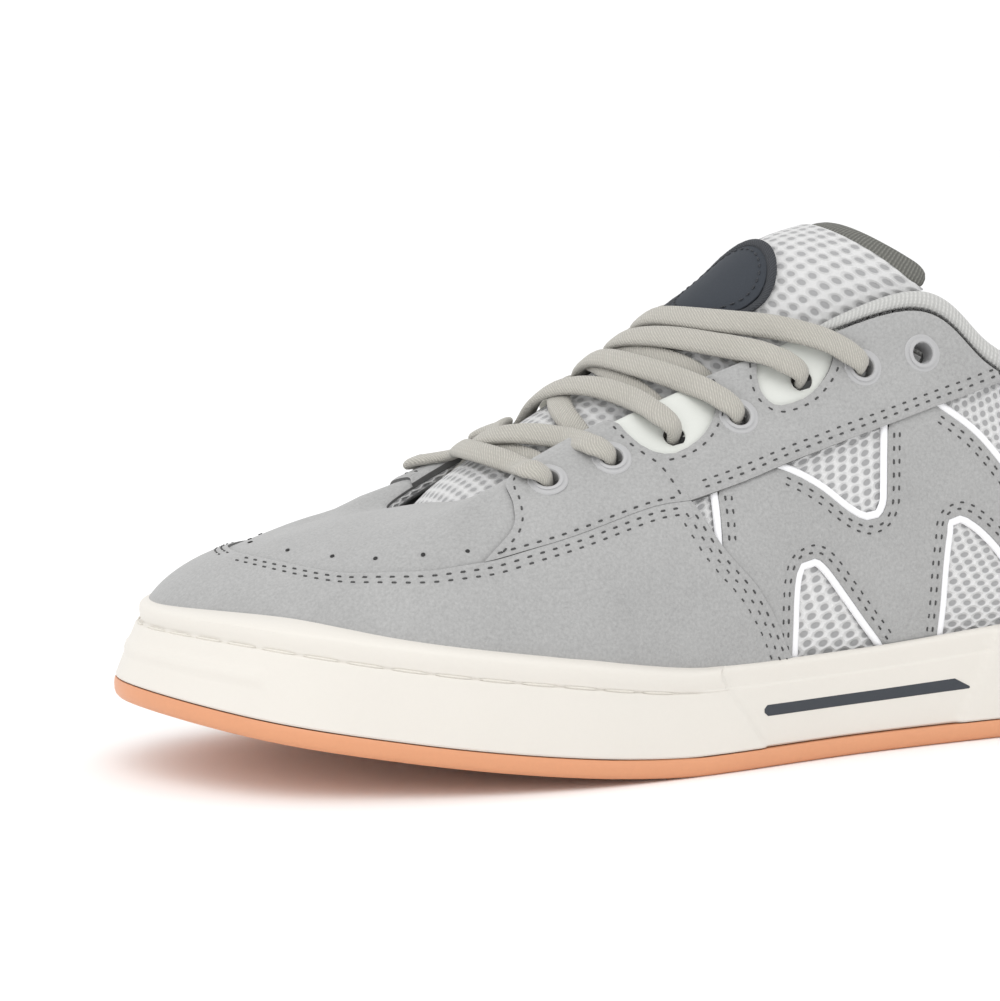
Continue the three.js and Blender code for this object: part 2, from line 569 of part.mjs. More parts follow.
// A tube through rings of points, closed at both ends
function tubeSolid(rings) {
  const n = rings[0].length;
  const faces = [];
  rings.slice(1).forEach((_, k) => {
    for (let i = 0; i < n; i += 1) {
      const j = (i + 1) % n;
      faces.push([k * n + i, k * n + j, (k + 1) * n + j], [k * n + i, (k + 1) * n + j, (k + 1) * n + i]);
    }
  });
  const last = (rings.length - 1) * n;
  for (let i = 1; i < n - 1; i += 1) faces.push([0, i + 1, i], [last, last + i, last + i + 1]);
  const solid = solidFromFaces(rings.flat(), faces);
  return solid.volume() > 0 ? solid : solidFromFaces(rings.flat(), faces.map(([a, b, c]) => [a, c, b]));
}

// Sole. The side is stepped: thick and grooved round the front, let in at the waist, thick at the heel.
const FRONT_STEP = 4.79;
const HEEL_STEP = 3.25;
const STEP_HALF = 0.03;
const STEPS = [{ at: FRONT_STEP, slant: 0.38 }, { at: HEEL_STEP, slant: -0.3 }];
const SLANT_REACH = 0.8;
const soleQ = [...gridQ, ...STEPS.flatMap(({ at }) => [at - STEP_HALF, at + STEP_HALF,
  STATIONS - at - STEP_HALF, STATIONS - at + STEP_HALF])].sort((a, b) => a - b);

function slanted(q, height) {
  const fromHeel = Math.min(q, STATIONS - q);
  const sign = q > TOE ? -1 : 1;
  const shift = STEPS.reduce((sum, { at, slant }) => sum
    + slant * Math.max(0, 1 - Math.abs(fromHeel - at) / SLANT_REACH), 0);
  return q + sign * shift * (height - 0.5);
}

function sideOut(q, groove) {
  const fromHeel = Math.min(q, STATIONS - q);
  if (fromHeel > FRONT_STEP) return -groove * STITCH_GROOVE;
  return fromHeel > HEEL_STEP ? -SIDE_STEP : 0;
}

// height: share of the side's height, groove: share of STITCH_GROOVE, back: share of STITCH_GROOVE
const SIDE = [
  { height: 0, groove: 0 },
  { height: 0.33, groove: 0 },
  { height: 0.70, groove: 1 },
  { height: 0.75, groove: 1 },
  { height: 0.76, groove: 0 },
  { height: 0.95, groove: 0 },
  { height: 1, groove: 0.9 },
];

function cupInside(q, v, out) {
  const point = shell(q, v);
  const outward = solePlanOut(q);
  const [x, y] = [point.x + outward.x * out, point.y + outward.y * out];
  return new THREE.Vector3(x, y, v > 0 ? point.z : spring(x) + FLOOR_TOP);
}

function cupsoleSolid() {
  const outside = SIDE.map(({ height, groove }) => soleQ.map((q) => {
    const out = sideOut(q, groove) - (height === 1 ? STITCH_GROOVE : 0);
    return soleSide(slanted(q, height), height, out);
  }));
  const rim = (q) => upAtHeight(q, rimHeight(q));
  const inside = [
    soleQ.map((q) => cupInside(q, rim(q), RIM_GAP)),
    soleQ.map((q) => cupInside(q, Math.min(UPS[1] * edgeUp(q), 0.7 * rim(q)), RIM_GAP)),
    soleQ.map((q) => cupInside(q, 0, 0)),
  ];
  const cup = stackSolid([...outside, ...inside]);
  return stripePockets().reduce((rest, pocket) => rest.subtract(pocket), cup);
}

// The inlaid stripe of the waist: a rounded start and a slanted end
const STRIPE = { from: 4.63, to: 3.34, low: 0.36, high: 0.5, slant: 0.06 };
function stripeBlock(deep, proud, grow, mirror) {
  const { from, to, low, high, slant } = STRIPE;
  const steps = 8;
  const [a, b] = [from + grow * 0.02, to - grow * 0.02];
  const ring = (i, out) => {
    const t = i / steps;
    const half = ((high - low) / 2 + grow * 0.012) * (i === 0 ? 0.55 : 1);
    return [-1, 1].map((sign) => {
      const height = (low + high) / 2 + sign * half;
      const q = a + (b - a) * t + (i === steps ? slant * sign : 0);
      return soleSide(mirror ? STATIONS - q : q, height, out - SIDE_STEP);
    });
  };
  const layer = (out) => Array.from({ length: steps + 1 }, (_, i) => ring(i, out));
  return mirror ? wallSolid(layer(proud), layer(-deep), false) : wallSolid(layer(-deep), layer(proud), false);
}

const stripeSolid = (mirror) => stripeBlock(STRIPE_DEPTH - GAP, GAP / 2, 0, mirror);

function stripePockets() {
  return [false, true].map((mirror) => stripeBlock(STRIPE_DEPTH, 3 * SIDE_STEP, 1, mirror));
}

function outsoleSolid() {
  const level = (z, out) => gridQ.map((q) => {
    const point = soleSide(q, 0, out);
    return point.setZ(spring(point.x) + z);
  });
  const body = stackSolid([level(0, -1), level(1, 0), level(OUTSOLE, 0)]);
  return treadGrooves().reduce((rest, groove) => rest.subtract(groove), body);
}

// Chevron grooves across heel and forefoot, between columns that face each other
const TREAD_COLUMNS = [2, 3, 4, 5, 6, 10, 11, 12, 13, 14, 15];
function treadGrooves() {
  return TREAD_COLUMNS.map((i) => {
    const ends = [gridQ[i], gridQ[COLUMNS - i]].map((q) => {
      const point = solePlan(q);
      return point.addScaledVector(solePlanOut(q), -TREAD_MARGIN);
    });
    const apex = ends[0].clone().add(ends[1]).multiplyScalar(0.5);
    apex.x += TREAD_CHEVRON;
    const line = [ends[0], apex, ends[1]];
    const half = TREAD_WIDTH / 2;
    const ring = (point) => [[-half, -TREAD_DEPTH], [half, -TREAD_DEPTH], [half, TREAD_DEPTH], [-half, TREAD_DEPTH]]
      .map(([x, z]) => new THREE.Vector3(point.x + x, point.y, spring(point.x + x) + z));
    return tubeSolid(line.map(ring));
  });
}

function insoleSolid() {
  const inset = BASE_DEPTH + UPPER_WALL + 2 * GAP;
  const level = (height) => gridQ.map((q) => {
    const v = upAtHeight(q, height);
    const normal = shellNormal(q, v).setZ(0);
    const point = shell(q, v).addScaledVector(normal, -inset / normal.lengthSq());
    return point.setZ(spring(point.x) + height);
  });
  return stackSolid([level(FOOT), level(FOOT + INSOLE)]);
}

// Tongue: an arched pad. s: section counted from the toe, u: -1 at the inner edge, 1 at the outer.
function tongueFace(s, u) {
  const row = (key) => column(TONGUE, key, s, false);
  const angle = (u * Math.PI) / 2;
  const drop = row('drop') * INSTEP_HEIGHT * (1 - Math.cos(angle));
  const tilt = THREE.MathUtils.degToRad(row('tilt'));
  const crown = [row('x') * LENGTH, row('z') * INSTEP_HEIGHT];
  return new THREE.Vector3(crown[0] - drop * Math.sin(tilt), row('half') * BALL_WIDTH * Math.sin(angle),
    crown[1] - drop * Math.cos(tilt));
}

function tongueNormal(s, u) {
  const step = 0.01;
  const along = tongueFace(s + step, u).sub(tongueFace(s - step, u));
  const across = tongueFace(s, u + step).sub(tongueFace(s, u - step));
  return across.cross(along).normalize();
}

const tonguePoint = (s, u, depth) => tongueFace(s, u).addScaledVector(tongueNormal(s, u), -depth);
const TONGUE_END = TONGUE.length - 1;
const tongueS = [0, 1, 1.6, 2, 2.6, 3.4, 4.3, 5.2, 6.1, 7, TONGUE_END];
const tongueU = [1, 0.75, 0.48, 0.2, -0.2, -0.48, -0.75, -1];

function tongueWall(outer, deep) {
  const layer = (depth) => tongueS.map((s) => tongueU.map((u) => tonguePoint(s, u, depth(s, u))));
  const solid = wallSolid(layer(outer), layer(deep), false);
  return solid.volume() > 0 ? solid : wallSolid(layer(deep), layer(outer), false);
}

const EDGE_THIN = 0.5;
function tongueSolid() {
  const pad = (s, u) => column(TONGUE, 'pad', s, false) * TONGUE_PAD * (1 - EDGE_THIN * u * u);
  return tongueWall(() => 0, pad).subtract(clearOfUpper).subtract(collarRoom());
}

// Room that the collar roll takes on its inner side
function collarRoom() {
  const steps = 20;
  const rings = Array.from({ length: steps + 1 }, (_, i) => {
    const q = COLLAR_FRONT + 0.1 - (1.9 * i) / steps;
    return [q, STATIONS - q].map((at) => {
      const top = shell(at, 1);
      const outward = shellNormal(at, 1);
      const up = top.clone().sub(shell(at, 0.99)).normalize();
      const pad = BASE_DEPTH + wallDepth(at, 1) + GAP;
      const reach = COLLAR_RISE * 1.1 + GAP;
      return [[4, -3 * reach], [4, reach], [-pad, reach], [-pad, -3 * reach]].map(([out, rise]) => top.clone()
        .addScaledVector(outward, out).addScaledVector(up, rise));
    });
  });
  return tubeSolid(rings.map((pair) => pair[0])).add(tubeSolid(rings.map((pair) => pair[1])));
}

// Webbing that follows the tongue's top edge, and the plain round patch on its front
const WEBBING_STEPS = 14;
const WEBBING_REACH = 0.86;
function webbingSolid() {
  const across = Array.from({ length: WEBBING_STEPS + 1 }, (_, i) => WEBBING_REACH * (1 - (2 * i) / WEBBING_STEPS));
  const rings = across.map((u) => {
    const sunk = [2, 2 + WEBBING_THICKNESS].map((depth) => tonguePoint(TONGUE_END, u, depth));
    const back = new THREE.Vector3(-1, 0, -0.12).normalize();
    const [near, far] = [4 * GAP, 4 * GAP + WEBBING];
    return [[0, near], [0, far], [1, far], [1, near]].map(([k, way]) => sunk[k].clone().addScaledVector(back, way));
  });
  return tubeSolid(rings);
}

const PATCH_AT = { s: 6.13, u: 0.08 };
function patchSolid() {
  const sheet = tongueWall(() => -GAP - PATCH_THICKNESS, () => -GAP);
  const y = tongueNormal(PATCH_AT.s, PATCH_AT.u);
  const x = new THREE.Vector3(0, 1, 0).addScaledVector(y, -y.y).normalize();
  const basis = new THREE.Matrix4().makeBasis(x, y, new THREE.Vector3().crossVectors(x, y));
  const disc = new THREE.CylinderGeometry(PATCH / 2, PATCH / 2, TONGUE_PAD, 20);
  return sheet.intersect(solidOf(disc.applyMatrix4(basis.setPosition(tongueFace(PATCH_AT.s, PATCH_AT.u)))));
}

function eyeletGeometry({ q, v }) {
  const [hole, barrel, rim] = [EYELET_HOLE / 2, barrelRadius, EYELET / 2];
  const through = BASE_DEPTH + UPPER_WALL + GAP;
  const seat = EYELET_SEAT;
  const profile = [[hole, -through], [barrel, -through], [barrel, seat], [rim, seat], [barrel, seat + EYELET_FLANGE],
    [hole, -through]];
  const lathe = new THREE.LatheGeometry(profile.map(([r, y]) => new THREE.Vector2(r, y)), ROUND);
  return geometryOf(solidOf(lathe.applyMatrix4(frameAt(q, v))));
}

// Lace: a flat oval ribbon through points, each with the direction that its face looks in
function ribbonSolid(points, looks) {
  const curve = new THREE.CatmullRomCurve3(points, false, 'centripetal');
  const lookCurve = new THREE.CatmullRomCurve3(looks, false, 'centripetal');
  const steps = 8;
  const oval = [[1, 0], [0.55, 0.85], [-0.55, 0.85], [-1, 0], [-0.55, -0.85], [0.55, -0.85]];
  const rings = Array.from({ length: steps + 1 }, (_, i) => {
    const t = i / steps;
    const tangent = curve.getTangent(t);
    const side = new THREE.Vector3().crossVectors(tangent, lookCurve.getPoint(t)).normalize();
    const up = new THREE.Vector3().crossVectors(side, tangent).normalize();
    return oval.map(([a, b]) => curve.getPoint(t).addScaledVector(side, (a * LACE_WIDTH) / 2)
      .addScaledVector(up, (b * LACE_THICKNESS) / 2));
  });
  return tubeSolid(rings);
}

// Where each hole's lace leaves the throat's edge, crosses the tongue and ends at the other edge.
// cross: sections of the tongue at the near edge, the crown and the far edge.
const CROSSINGS = [
  { hole: 0, cross: [2.12, 2.20, 2.12] },
  { hole: 1, cross: [3.18, 3.04, 2.98] },
  { hole: 2, cross: [3.95, 3.75, 3.60] },
  { hole: 3, cross: [4.75, 4.52, 4.38] },
  { hole: 4, cross: [5.45, 5.14, 5.04] },
  { hole: 5, cross: [6.20, 5.92, 5.82] },
];
const LACE_CLEAR = 0.6;
const LACE_OVER = LACE_THICKNESS + 2 * GAP;
const FAR_END = 0.45;
function strap({ hole, cross }, side, lift, wholeBar) {
  const { q, v } = HOLES[hole];
  const patch = hole === CROSSINGS.length - 1 ? PATCH_THICKNESS + GAP : 0;
  const at = side > 0 ? q : STATIONS - q;
  const half = LACE_THICKNESS / 2 + LACE_CLEAR;
  const above = 2 * GAP + EYELET_FLANGE + half;
  const onShell = (place, up, depth) => ({ point: shellPoint(place, up, -depth), look: shellNormal(place, up) });
  const onTongue = (s, u, more) => ({ point: tonguePoint(s, u, -half - patch - more), look: tongueNormal(s, u) });
  const nearEdge = [onShell(at, v, above), onShell(at, 1, half + LACE_OVER / 2)];
  const stops = [...nearEdge, onTongue(cross[0], side * 0.5, LACE_OVER), onTongue(cross[1], 0, lift)];
  if (wholeBar) {
    const far = STATIONS - at;
    stops.push(onTongue(cross[2], -side * 0.5, LACE_OVER), onShell(far, 1, half + LACE_OVER / 2), onShell(far, v, above));
  } else {
    stops.push(onTongue(cross[2], -side * FAR_END, 0));
  }
  return ribbonSolid(stops.map((stop) => stop.point), stops.map((stop) => stop.look));
}

// The outer side's lace lies on the inner side's, and the top one passes over the patch
function laceSolid(crossing) {
  if (crossing.hole === 0) return strap(crossing, 1, LACE_OVER / 2, true);
  return strap(crossing, 1, LACE_OVER * 0.7, false).add(strap(crossing, -1, GAP, false));
}

// Materials
const finish = (color, roughness) => new THREE.MeshStandardMaterial({ color, roughness, metalness: 0 });
const suede = finish('#a9a9a8', 0.95);
const mesh = finish('#e2e2e1', 0.9);
const knit = finish('#c3c4bd', 0.95);
const rubber = finish('#f3efe6', 0.55);
const gum = finish('#d89668', 0.5);
const navy = finish('#3a4047', 0.6);
const smooth = finish('#dfe1dc', 0.5);
const plastic = finish('#b6b6b7', 0.4);
const lace = finish('#d3cdbf', 0.95);
const webbing = finish('#80807a', 0.9);
const lining = finish('#6b6c6c', 0.95);

const shoe = new THREE.Group();
function add(name, shape, material) {
  const geometry = shape.isBufferGeometry ? shape : geometryOf(shape);
  const piece = new THREE.Mesh(geometry, material);
  piece.name = name;
  shoe.add(piece);
}

const sides = [
  { name: 'lateral', place: (line) => line, mirror: false },
  { name: 'medial', place: inner, mirror: true },
];

add('outsole', outsoleSolid(), gum);
add('cupsole', cupsoleSolid(), rubber);
add('insole', insoleSolid(), lining);
add('upper', upperSolid(), mesh);
add('tongue', tongueSolid(), mesh);
add('collar', collarSolid(), knit);
add('vamp', vampSolid(), suede);
add('mudguard', mudguardSolid(), suede);
add('heel_counter', heelCounterSolid(), suede);
add('tongue_webbing', webbingSolid(), webbing);
add('tongue_patch', patchSolid(), navy);
sides.forEach(({ name, place, mirror }) => {
  add(`side_stripe_${name}`, stripeSolid(mirror), navy);
  add(`eyestay_front_${name}`, eyestayFrontSolid(place), suede);
  add(`eyestay_rear_${name}`, eyestayRearSolid(place), suede);
  add(`side_panel_${name}`, sidePanelSolid(place), suede);
  TAB_LINES.forEach((line, k) => add(`lace_tab_${name}_${k + 1}`, tabSolid(line, place), smooth));
});
holes.filter((hole) => !hole.tab).forEach((hole) => {
  const number = HOLES.findIndex(({ v }) => v === hole.v) + 1;
  add(`eyelet_${hole.side}_${number}`, eyeletGeometry(hole), plastic);
});
CROSSINGS.forEach((crossing) => add(`lace_${crossing.hole + 1}`, laceSolid(crossing), lace));

export default shoe;
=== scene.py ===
"""Left skateboarding shoe: the finished look over the solid model.

The upper's form is a surface with two coordinates. q counts eighteen stations round the shoe, from
the back of the heel (0) along the outer side to the toe (9) and back along the inner side. v runs
from the foot of the upper in the sole (0) to its top edge (1). Depths count inwards from the visible
face. Lengths are millimetres until a mesh is made.
"""
import functools
import math

import bmesh
import bpy
import numpy as np
from mathutils import Matrix, Vector, geometry, kdtree


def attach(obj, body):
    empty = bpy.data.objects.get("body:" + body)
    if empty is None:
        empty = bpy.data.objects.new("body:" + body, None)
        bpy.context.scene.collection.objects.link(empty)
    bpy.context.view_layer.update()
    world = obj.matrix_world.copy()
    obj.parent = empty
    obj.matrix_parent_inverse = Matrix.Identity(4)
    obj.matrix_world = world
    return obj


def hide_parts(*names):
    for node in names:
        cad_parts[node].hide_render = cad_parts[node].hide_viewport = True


bl_info = {
    "name": "Skateboarding shoe",
    "version": (1, 0, 0),
    "blender": (4, 5, 0),
    "location": "View3D > Sidebar > Shoe",
    "description": "Dresses the solid model of a left skateboarding shoe",
    "category": "Object",
}

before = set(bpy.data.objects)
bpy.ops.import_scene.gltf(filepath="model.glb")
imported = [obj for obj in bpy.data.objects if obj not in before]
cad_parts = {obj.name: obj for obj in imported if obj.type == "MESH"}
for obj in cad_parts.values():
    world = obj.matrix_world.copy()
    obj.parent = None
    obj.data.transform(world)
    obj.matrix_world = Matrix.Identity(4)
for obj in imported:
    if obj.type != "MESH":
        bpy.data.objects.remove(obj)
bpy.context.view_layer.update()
MM = 0.001

# Sizes of the last and sole
LENGTH, BALL_WIDTH, INSTEP_HEIGHT, RIM_HEIGHT = 300.0, 110.0, 107.0, 31.0
TOE_SPRING, SPRING_START, SPRING_POWER = 17.5, 30.0, 1.4
GAP, OUTSOLE, CUP_FLOOR, CUP_EDGE, RIM_LEAN = 0.3, 4.5, 6.9, 5.0, 6.0
UPPER_WALL, OVERLAY, COLLAR, COLLAR_RISE = 2.5, 1.2, 9.0, 3.5
BASE_DEPTH = OVERLAY + GAP
SOLE_BOTTOM = OUTSOLE + GAP
FLOOR_TOP = SOLE_BOTTOM + CUP_FLOOR
FOOT = FLOOR_TOP + GAP
STATIONS, TOE = 18, 9.0
# How far the collar's seam lies below the topline, and the depths of the layers of sheet
SEAM_DROP = 3.4
LAYERS = {"mudguard": -0.65, "eyestay": -0.8, "counter": -0.5, "panel": 0.25, "toe": 0.3, "tab": 0.7}
TROUGH = 0.2

# Columns round the sole: along, across, rim, lean
AROUND = np.array([
    (-0.500, 0.000, 1.000, 0.25), (-0.462, 0.262, 0.984, 0.25), (-0.355, 0.375, 0.952, 0.17),
    (-0.205, 0.380, 0.887, 0.17), (-0.055, 0.412, 0.800, 0.17), (0.090, 0.483, 0.800, 0.17),
    (0.210, 0.507, 0.861, 0.17), (0.335, 0.450, 0.865, 0.33), (0.440, 0.303, 0.855, 0.58),
    (0.500, -0.060, 0.758, 1.00), (0.455, -0.345, 0.806, 1.00), (0.350, -0.465, 0.865, 0.33),
    (0.215, -0.492, 0.855, 0.17), (0.070, -0.420, 0.806, 0.17), (-0.070, -0.345, 0.806, 0.17),
    (-0.210, -0.345, 0.887, 0.17), (-0.355, -0.372, 0.952, 0.17), (-0.462, -0.262, 0.984, 0.25),
]).T
# Columns of the upper: inset, x, y, z, rise, bulge, reach, fall, pad
WALL = np.array([
    (0.9, -0.457, 0.000, 0.850, 0.243, 0.020, 0.022, 0.224, 1.00),
    (0.9, -0.427, 0.173, 0.832, 0.243, 0.018, 0.018, 0.224, 1.00),
    (0.9, -0.360, 0.273, 0.757, 0.224, 0.018, 0.009, 0.187, 0.95),
    (1.0, -0.273, 0.300, 0.738, 0.206, 0.027, 0.018, 0.150, 0.85),
    (1.0, -0.197, 0.291, 0.869, 0.224, 0.036, 0.027, 0.187, 0.60),
    (1.0, -0.130, 0.255, 1.000, 0.280, 0.045, 0.055, 0.243, 0.20),
    (0.9, 0.013, 0.218, 0.869, 0.262, 0.045, 0.127, 0.150, 0),
    (0.8, 0.147, 0.191, 0.729, 0.206, 0.036, 0.182, 0.084, 0),
    (1.0, 0.230, 0.164, 0.607, 0.121, 0.018, 0.236, 0.056, 0),
    (1.2, 0.253, 0.000, 0.570, 0.165, 0.028, 0.309, 0.037, 0),
    (1.0, 0.263, -0.164, 0.552, 0.200, 0.028, 0.236, 0.047, 0),
    (0.8, 0.167, -0.182, 0.682, 0.187, 0.036, 0.182, 0.075, 0),
    (0.9, 0.017, -0.209, 0.860, 0.262, 0.045, 0.127, 0.150, 0),
    (1.0, -0.130, -0.255, 1.000, 0.280, 0.045, 0.055, 0.243, 0.20),
    (1.0, -0.197, -0.300, 0.907, 0.224, 0.036, 0.027, 0.187, 0.60),
    (1.0, -0.273, -0.309, 0.813, 0.206, 0.027, 0.018, 0.150, 0.85),
    (0.9, -0.360, -0.273, 0.804, 0.224, 0.018, 0.009, 0.187, 0.95),
    (0.9, -0.427, -0.173, 0.832, 0.243, 0.018, 0.018, 0.224, 1.00),
]).T
# Columns of the tongue's sections: x, z, tilt, half, drop, pad
TONGUE = np.array([
    (0.335, 0.478, 12, 0.155, 0.030, 0.22), (0.267, 0.535, 18, 0.160, 0.050, 0.25),
    (0.236, 0.608, 25, 0.162, 0.084, 0.45), (0.183, 0.704, 28, 0.168, 0.121, 0.60),
    (0.120, 0.807, 31, 0.178, 0.145, 0.70), (0.060, 0.918, 34, 0.186, 0.160, 0.80),
    (0.010, 1.019, 38, 0.192, 0.173, 0.90), (-0.040, 1.117, 42, 0.198, 0.196, 1.00),
    (-0.087, 1.156, 50, 0.205, 0.230, 1.00),
]).T
TONGUE_PAD, TONGUE_END = 11.0, 8.0

# Seams of the outer side, the same as in the solid model
TOE_SEAM = [(5.80, 0.538), (6.01, 0.540), (6.49, 0.484), (6.90, 0.452), (7.19, 0.454), (7.82, 0.515),
            (8.36, 0.539), (9, 0.525)]
MUD_SEAM = [(4.43, 0.090), (4.70, 0.235), (4.96, 0.309), (5.38, 0.405), (5.80, 0.538)]
TOE_SIDE_SEAM = [(6.90, 0.452), (6.86, 0.55), (6.98, 0.64), (7.28, 0.79), (7.47, 0.92), (7.66, 1.0)]
EYESTAY_JOINT = [(5.80, 0.538), (6.12, 0.664), (6.38, 0.757), (6.56, 0.84), (6.70, 0.92), (6.88, 1.0)]
EYESTAY_SEAM = [(5.80, 0.538), (5.51, 0.563), (5.31, 0.590), (5.06, 0.622), (4.71, 0.682), (4.21, 0.808),
                (3.86, 0.915)]
COUNTER_SEAM = [(2.02, 0.2), (2.30, 0.422), (2.60, 0.628), (3.02, 0.870)]
TAB_1 = [(6.38, 0.757), (6.24, 0.712), (6.10, 0.690), (6.00, 0.715), (6.00, 0.80), (6.12, 0.90), (6.28, 1.0)]
TAB_2 = [(5.93, 1.0), (5.86, 0.90), (5.72, 0.80), (5.58, 0.755), (5.46, 0.758), (5.40, 0.80), (5.44, 0.90),
         (5.60, 1.0)]
WINDOW_0 = [(5.37, 0.402), (5.50, 0.47), (5.655, 0.552)]
WINDOW_1 = [(5.36, 0.585), (4.97, 0.528), (4.60, 0.483), (4.43, 0.474), (4.35, 0.485), (4.35, 0.515),
            (4.43, 0.555), (4.60, 0.625), (4.73, 0.678)]
WINDOW_2 = [(4.44, 0.10), (4.46, 0.139), (4.55, 0.223), (4.73, 0.345), (4.74, 0.365), (4.66, 0.378),
            (4.55, 0.366), (4.27, 0.304), (4.03, 0.231), (3.86, 0.163), (3.78, 0.10)]
WINDOW_3 = [(3.50, 0.10), (3.53, 0.188), (3.59, 0.296), (3.76, 0.481), (3.79, 0.512), (3.72, 0.529),
            (3.58, 0.518), (3.35, 0.472), (2.95, 0.33), (2.70, 0.25), (2.48, 0.12)]
PANEL_REAR = [(4.42, 0.760), (4.02, 0.749), (3.55, 0.685), (2.90, 0.521), (2.48, 0.326), (2.25, 0.12)]

# Lace holes of the outer side from the toe up: q, v, and whether a smooth tab carries the hole
HOLES = [(6.88, 0.720, False), (6.52, 0.735, False), (6.19, 0.765, True), (5.82, 0.760, False),
         (5.54, 0.825, True), (5.18, 0.810, False), (4.77, 0.850, False)]
EYELET, EYELET_HOLE, EYELET_BARREL = 9.5, 5.2, 0.7

# The places of the toe piece's pinholes from the middle to the outer side, and the soft creases of the
# suede, each with its two ends, its width and its depth
PINHOLES = [(9.34, 0.593), (8.68, 0.594), (8.30, 0.605), (7.90, 0.590), (7.43, 0.540), (7.08, 0.508)]
CREASES = [
    ((7.35, 0.66), (7.95, 0.72), 3.0, 0.45),
    ((10.5, 0.70), (9.8, 0.76), 3.5, 0.40),
    ((7.10, 0.52), (7.30, 0.72), 2.2, 0.70),
    ((6.30, 0.30), (6.75, 0.40), 4.5, 0.45),
    ((5.95, 0.22), (6.30, 0.36), 4.0, 0.35),
    ((11.6, 0.28), (11.2, 0.40), 4.5, 0.40),
    ((5.35, 0.25), (5.62, 0.40), 4.5, 0.30),
]


# Forms
def column(values, at, closed=True):
    """Catmull-Rom value of one column, round a closed table or along an open one."""
    at = np.asarray(at, float)
    n = len(values)
    i = np.floor(at).astype(int)
    t = at - i

    def pick(k):
        return values[k % n] if closed else values[np.clip(k, 0, n - 1)]

    a, b, c, d = pick(i - 1), pick(i), pick(i + 1), pick(i + 2)
    cubic = (3 * b - a - 3 * c + d) * t ** 3
    return 0.5 * (2 * b + (c - a) * t + (2 * a - 5 * b + 4 * c - d) * t ** 2 + cubic)


def ease(t):
    k = np.clip(t, 0, 1)
    return k * k * (3 - 2 * k)


def unit(vectors):
    return vectors / np.maximum(np.linalg.norm(vectors, axis=-1, keepdims=True), 1e-12)


def spring(x):
    """Height of the sole's ground side: flat under heel and ball, rising to the toe."""
    span = (x - SPRING_START) / (LENGTH / 2 - SPRING_START)
    return TOE_SPRING * np.maximum(0, span) ** SPRING_POWER


def plan(q):
    return np.stack([column(AROUND[0], q) * LENGTH, column(AROUND[1], q) * BALL_WIDTH], -1)


def plan_out(q):
    along = unit(plan(q + 0.001) - plan(q - 0.001))
    return np.stack([-along[..., 1], along[..., 0]], -1)


def sole_side(q, height, out=0.0):
    """A point of the sole's side. height is 0 at the top of the outsole and 1 at the rim."""
    share = 0.76 * np.clip(height / 0.72, 0, 1) + 0.24 * ease((height - 0.72) / 0.04)
    lean = column(AROUND[3], q) * RIM_LEAN * share
    at = plan(q) + plan_out(q) * (out - lean)[..., None]
    top = column(AROUND[2], q) * RIM_HEIGHT
    z = spring(at[..., 0]) + SOLE_BOTTOM + (top - SOLE_BOTTOM) * height
    return np.concatenate([at, z[..., None]], -1)


def shell(q, v):
    """The upper's visible face."""
    q, v = np.broadcast_arrays(np.asarray(q, float), np.asarray(v, float))
    inset, x, y, z, rise, bulge, reach, fall, _ = (column(row, q) for row in WALL)
    out = plan_out(q)
    foot = plan(q) - out * (inset * CUP_EDGE)[..., None]
    start = np.concatenate([foot, (spring(foot[..., 0]) + FOOT)[..., None]], -1)
    end = np.stack([x * LENGTH, y * BALL_WIDTH, z * INSTEP_HEIGHT], -1)
    lift = np.concatenate([out * (bulge * BALL_WIDTH)[..., None], (rise * INSTEP_HEIGHT)[..., None]], -1)
    away = unit((start - end)[..., :2]) * (reach * BALL_WIDTH)[..., None]
    second = end + np.concatenate([away, (-fall * INSTEP_HEIGHT)[..., None]], -1)
    t = np.minimum(v, 1)[..., None]
    point = (start * (1 - t) ** 3 + 3 * (start + lift) * t * (1 - t) ** 2
             + 3 * second * t ** 2 * (1 - t) + end * t ** 3)
    return point + (end - second) * 3 * np.maximum(v - 1, 0)[..., None]


def slopes(q, v):
    """Change of the face's place with q and with v."""
    low = np.minimum(v, 0.998)
    along = (shell(q + 0.002, low) - shell(q - 0.002, low)) / 0.004
    return along, (shell(q, low + 0.002) - shell(q, low)) / 0.002


def normal(q, v):
    along, up = slopes(q, v)
    return unit(np.cross(up, along))


def on(q, v, depth=0.0):
    q, v = np.broadcast_arrays(np.asarray(q, float), np.asarray(v, float))
    return shell(q, v) - normal(q, v) * np.broadcast_to(depth, q.shape)[..., None]


def up_at(q, height):
    """v at a height above the ground side of the sole."""
    low, high = np.zeros_like(q), np.full_like(q, 0.7)
    for _ in range(22):
        mid = (low + high) / 2
        point = shell(q, mid)
        under = point[..., 2] - spring(point[..., 0]) < height
        low, high = np.where(under, mid, low), np.where(under, high, mid)
    return low


def rim_up(q, below=0.0):
    return up_at(q, column(AROUND[2], q) * RIM_HEIGHT - below)


def from_heel(q):
    """Stations from the back of the heel, the same on both sides."""
    return np.minimum(q % STATIONS, STATIONS - q % STATIONS)


def edge_up(q):
    """v of the top edge of the upper and its overlays, lower where the collar sits on it."""
    q = np.asarray(q, float)
    drop = SEAM_DROP * ease((6.0 - from_heel(q)) / 0.5)
    return 1 - drop * 0.01 / np.linalg.norm(shell(q, 1) - shell(q, 0.99), axis=-1)


def wall_depth(q, v):
    padding = (COLLAR - UPPER_WALL - BASE_DEPTH) * column(WALL[8], q)
    return UPPER_WALL + padding * ease((v - 0.55) / 0.3)


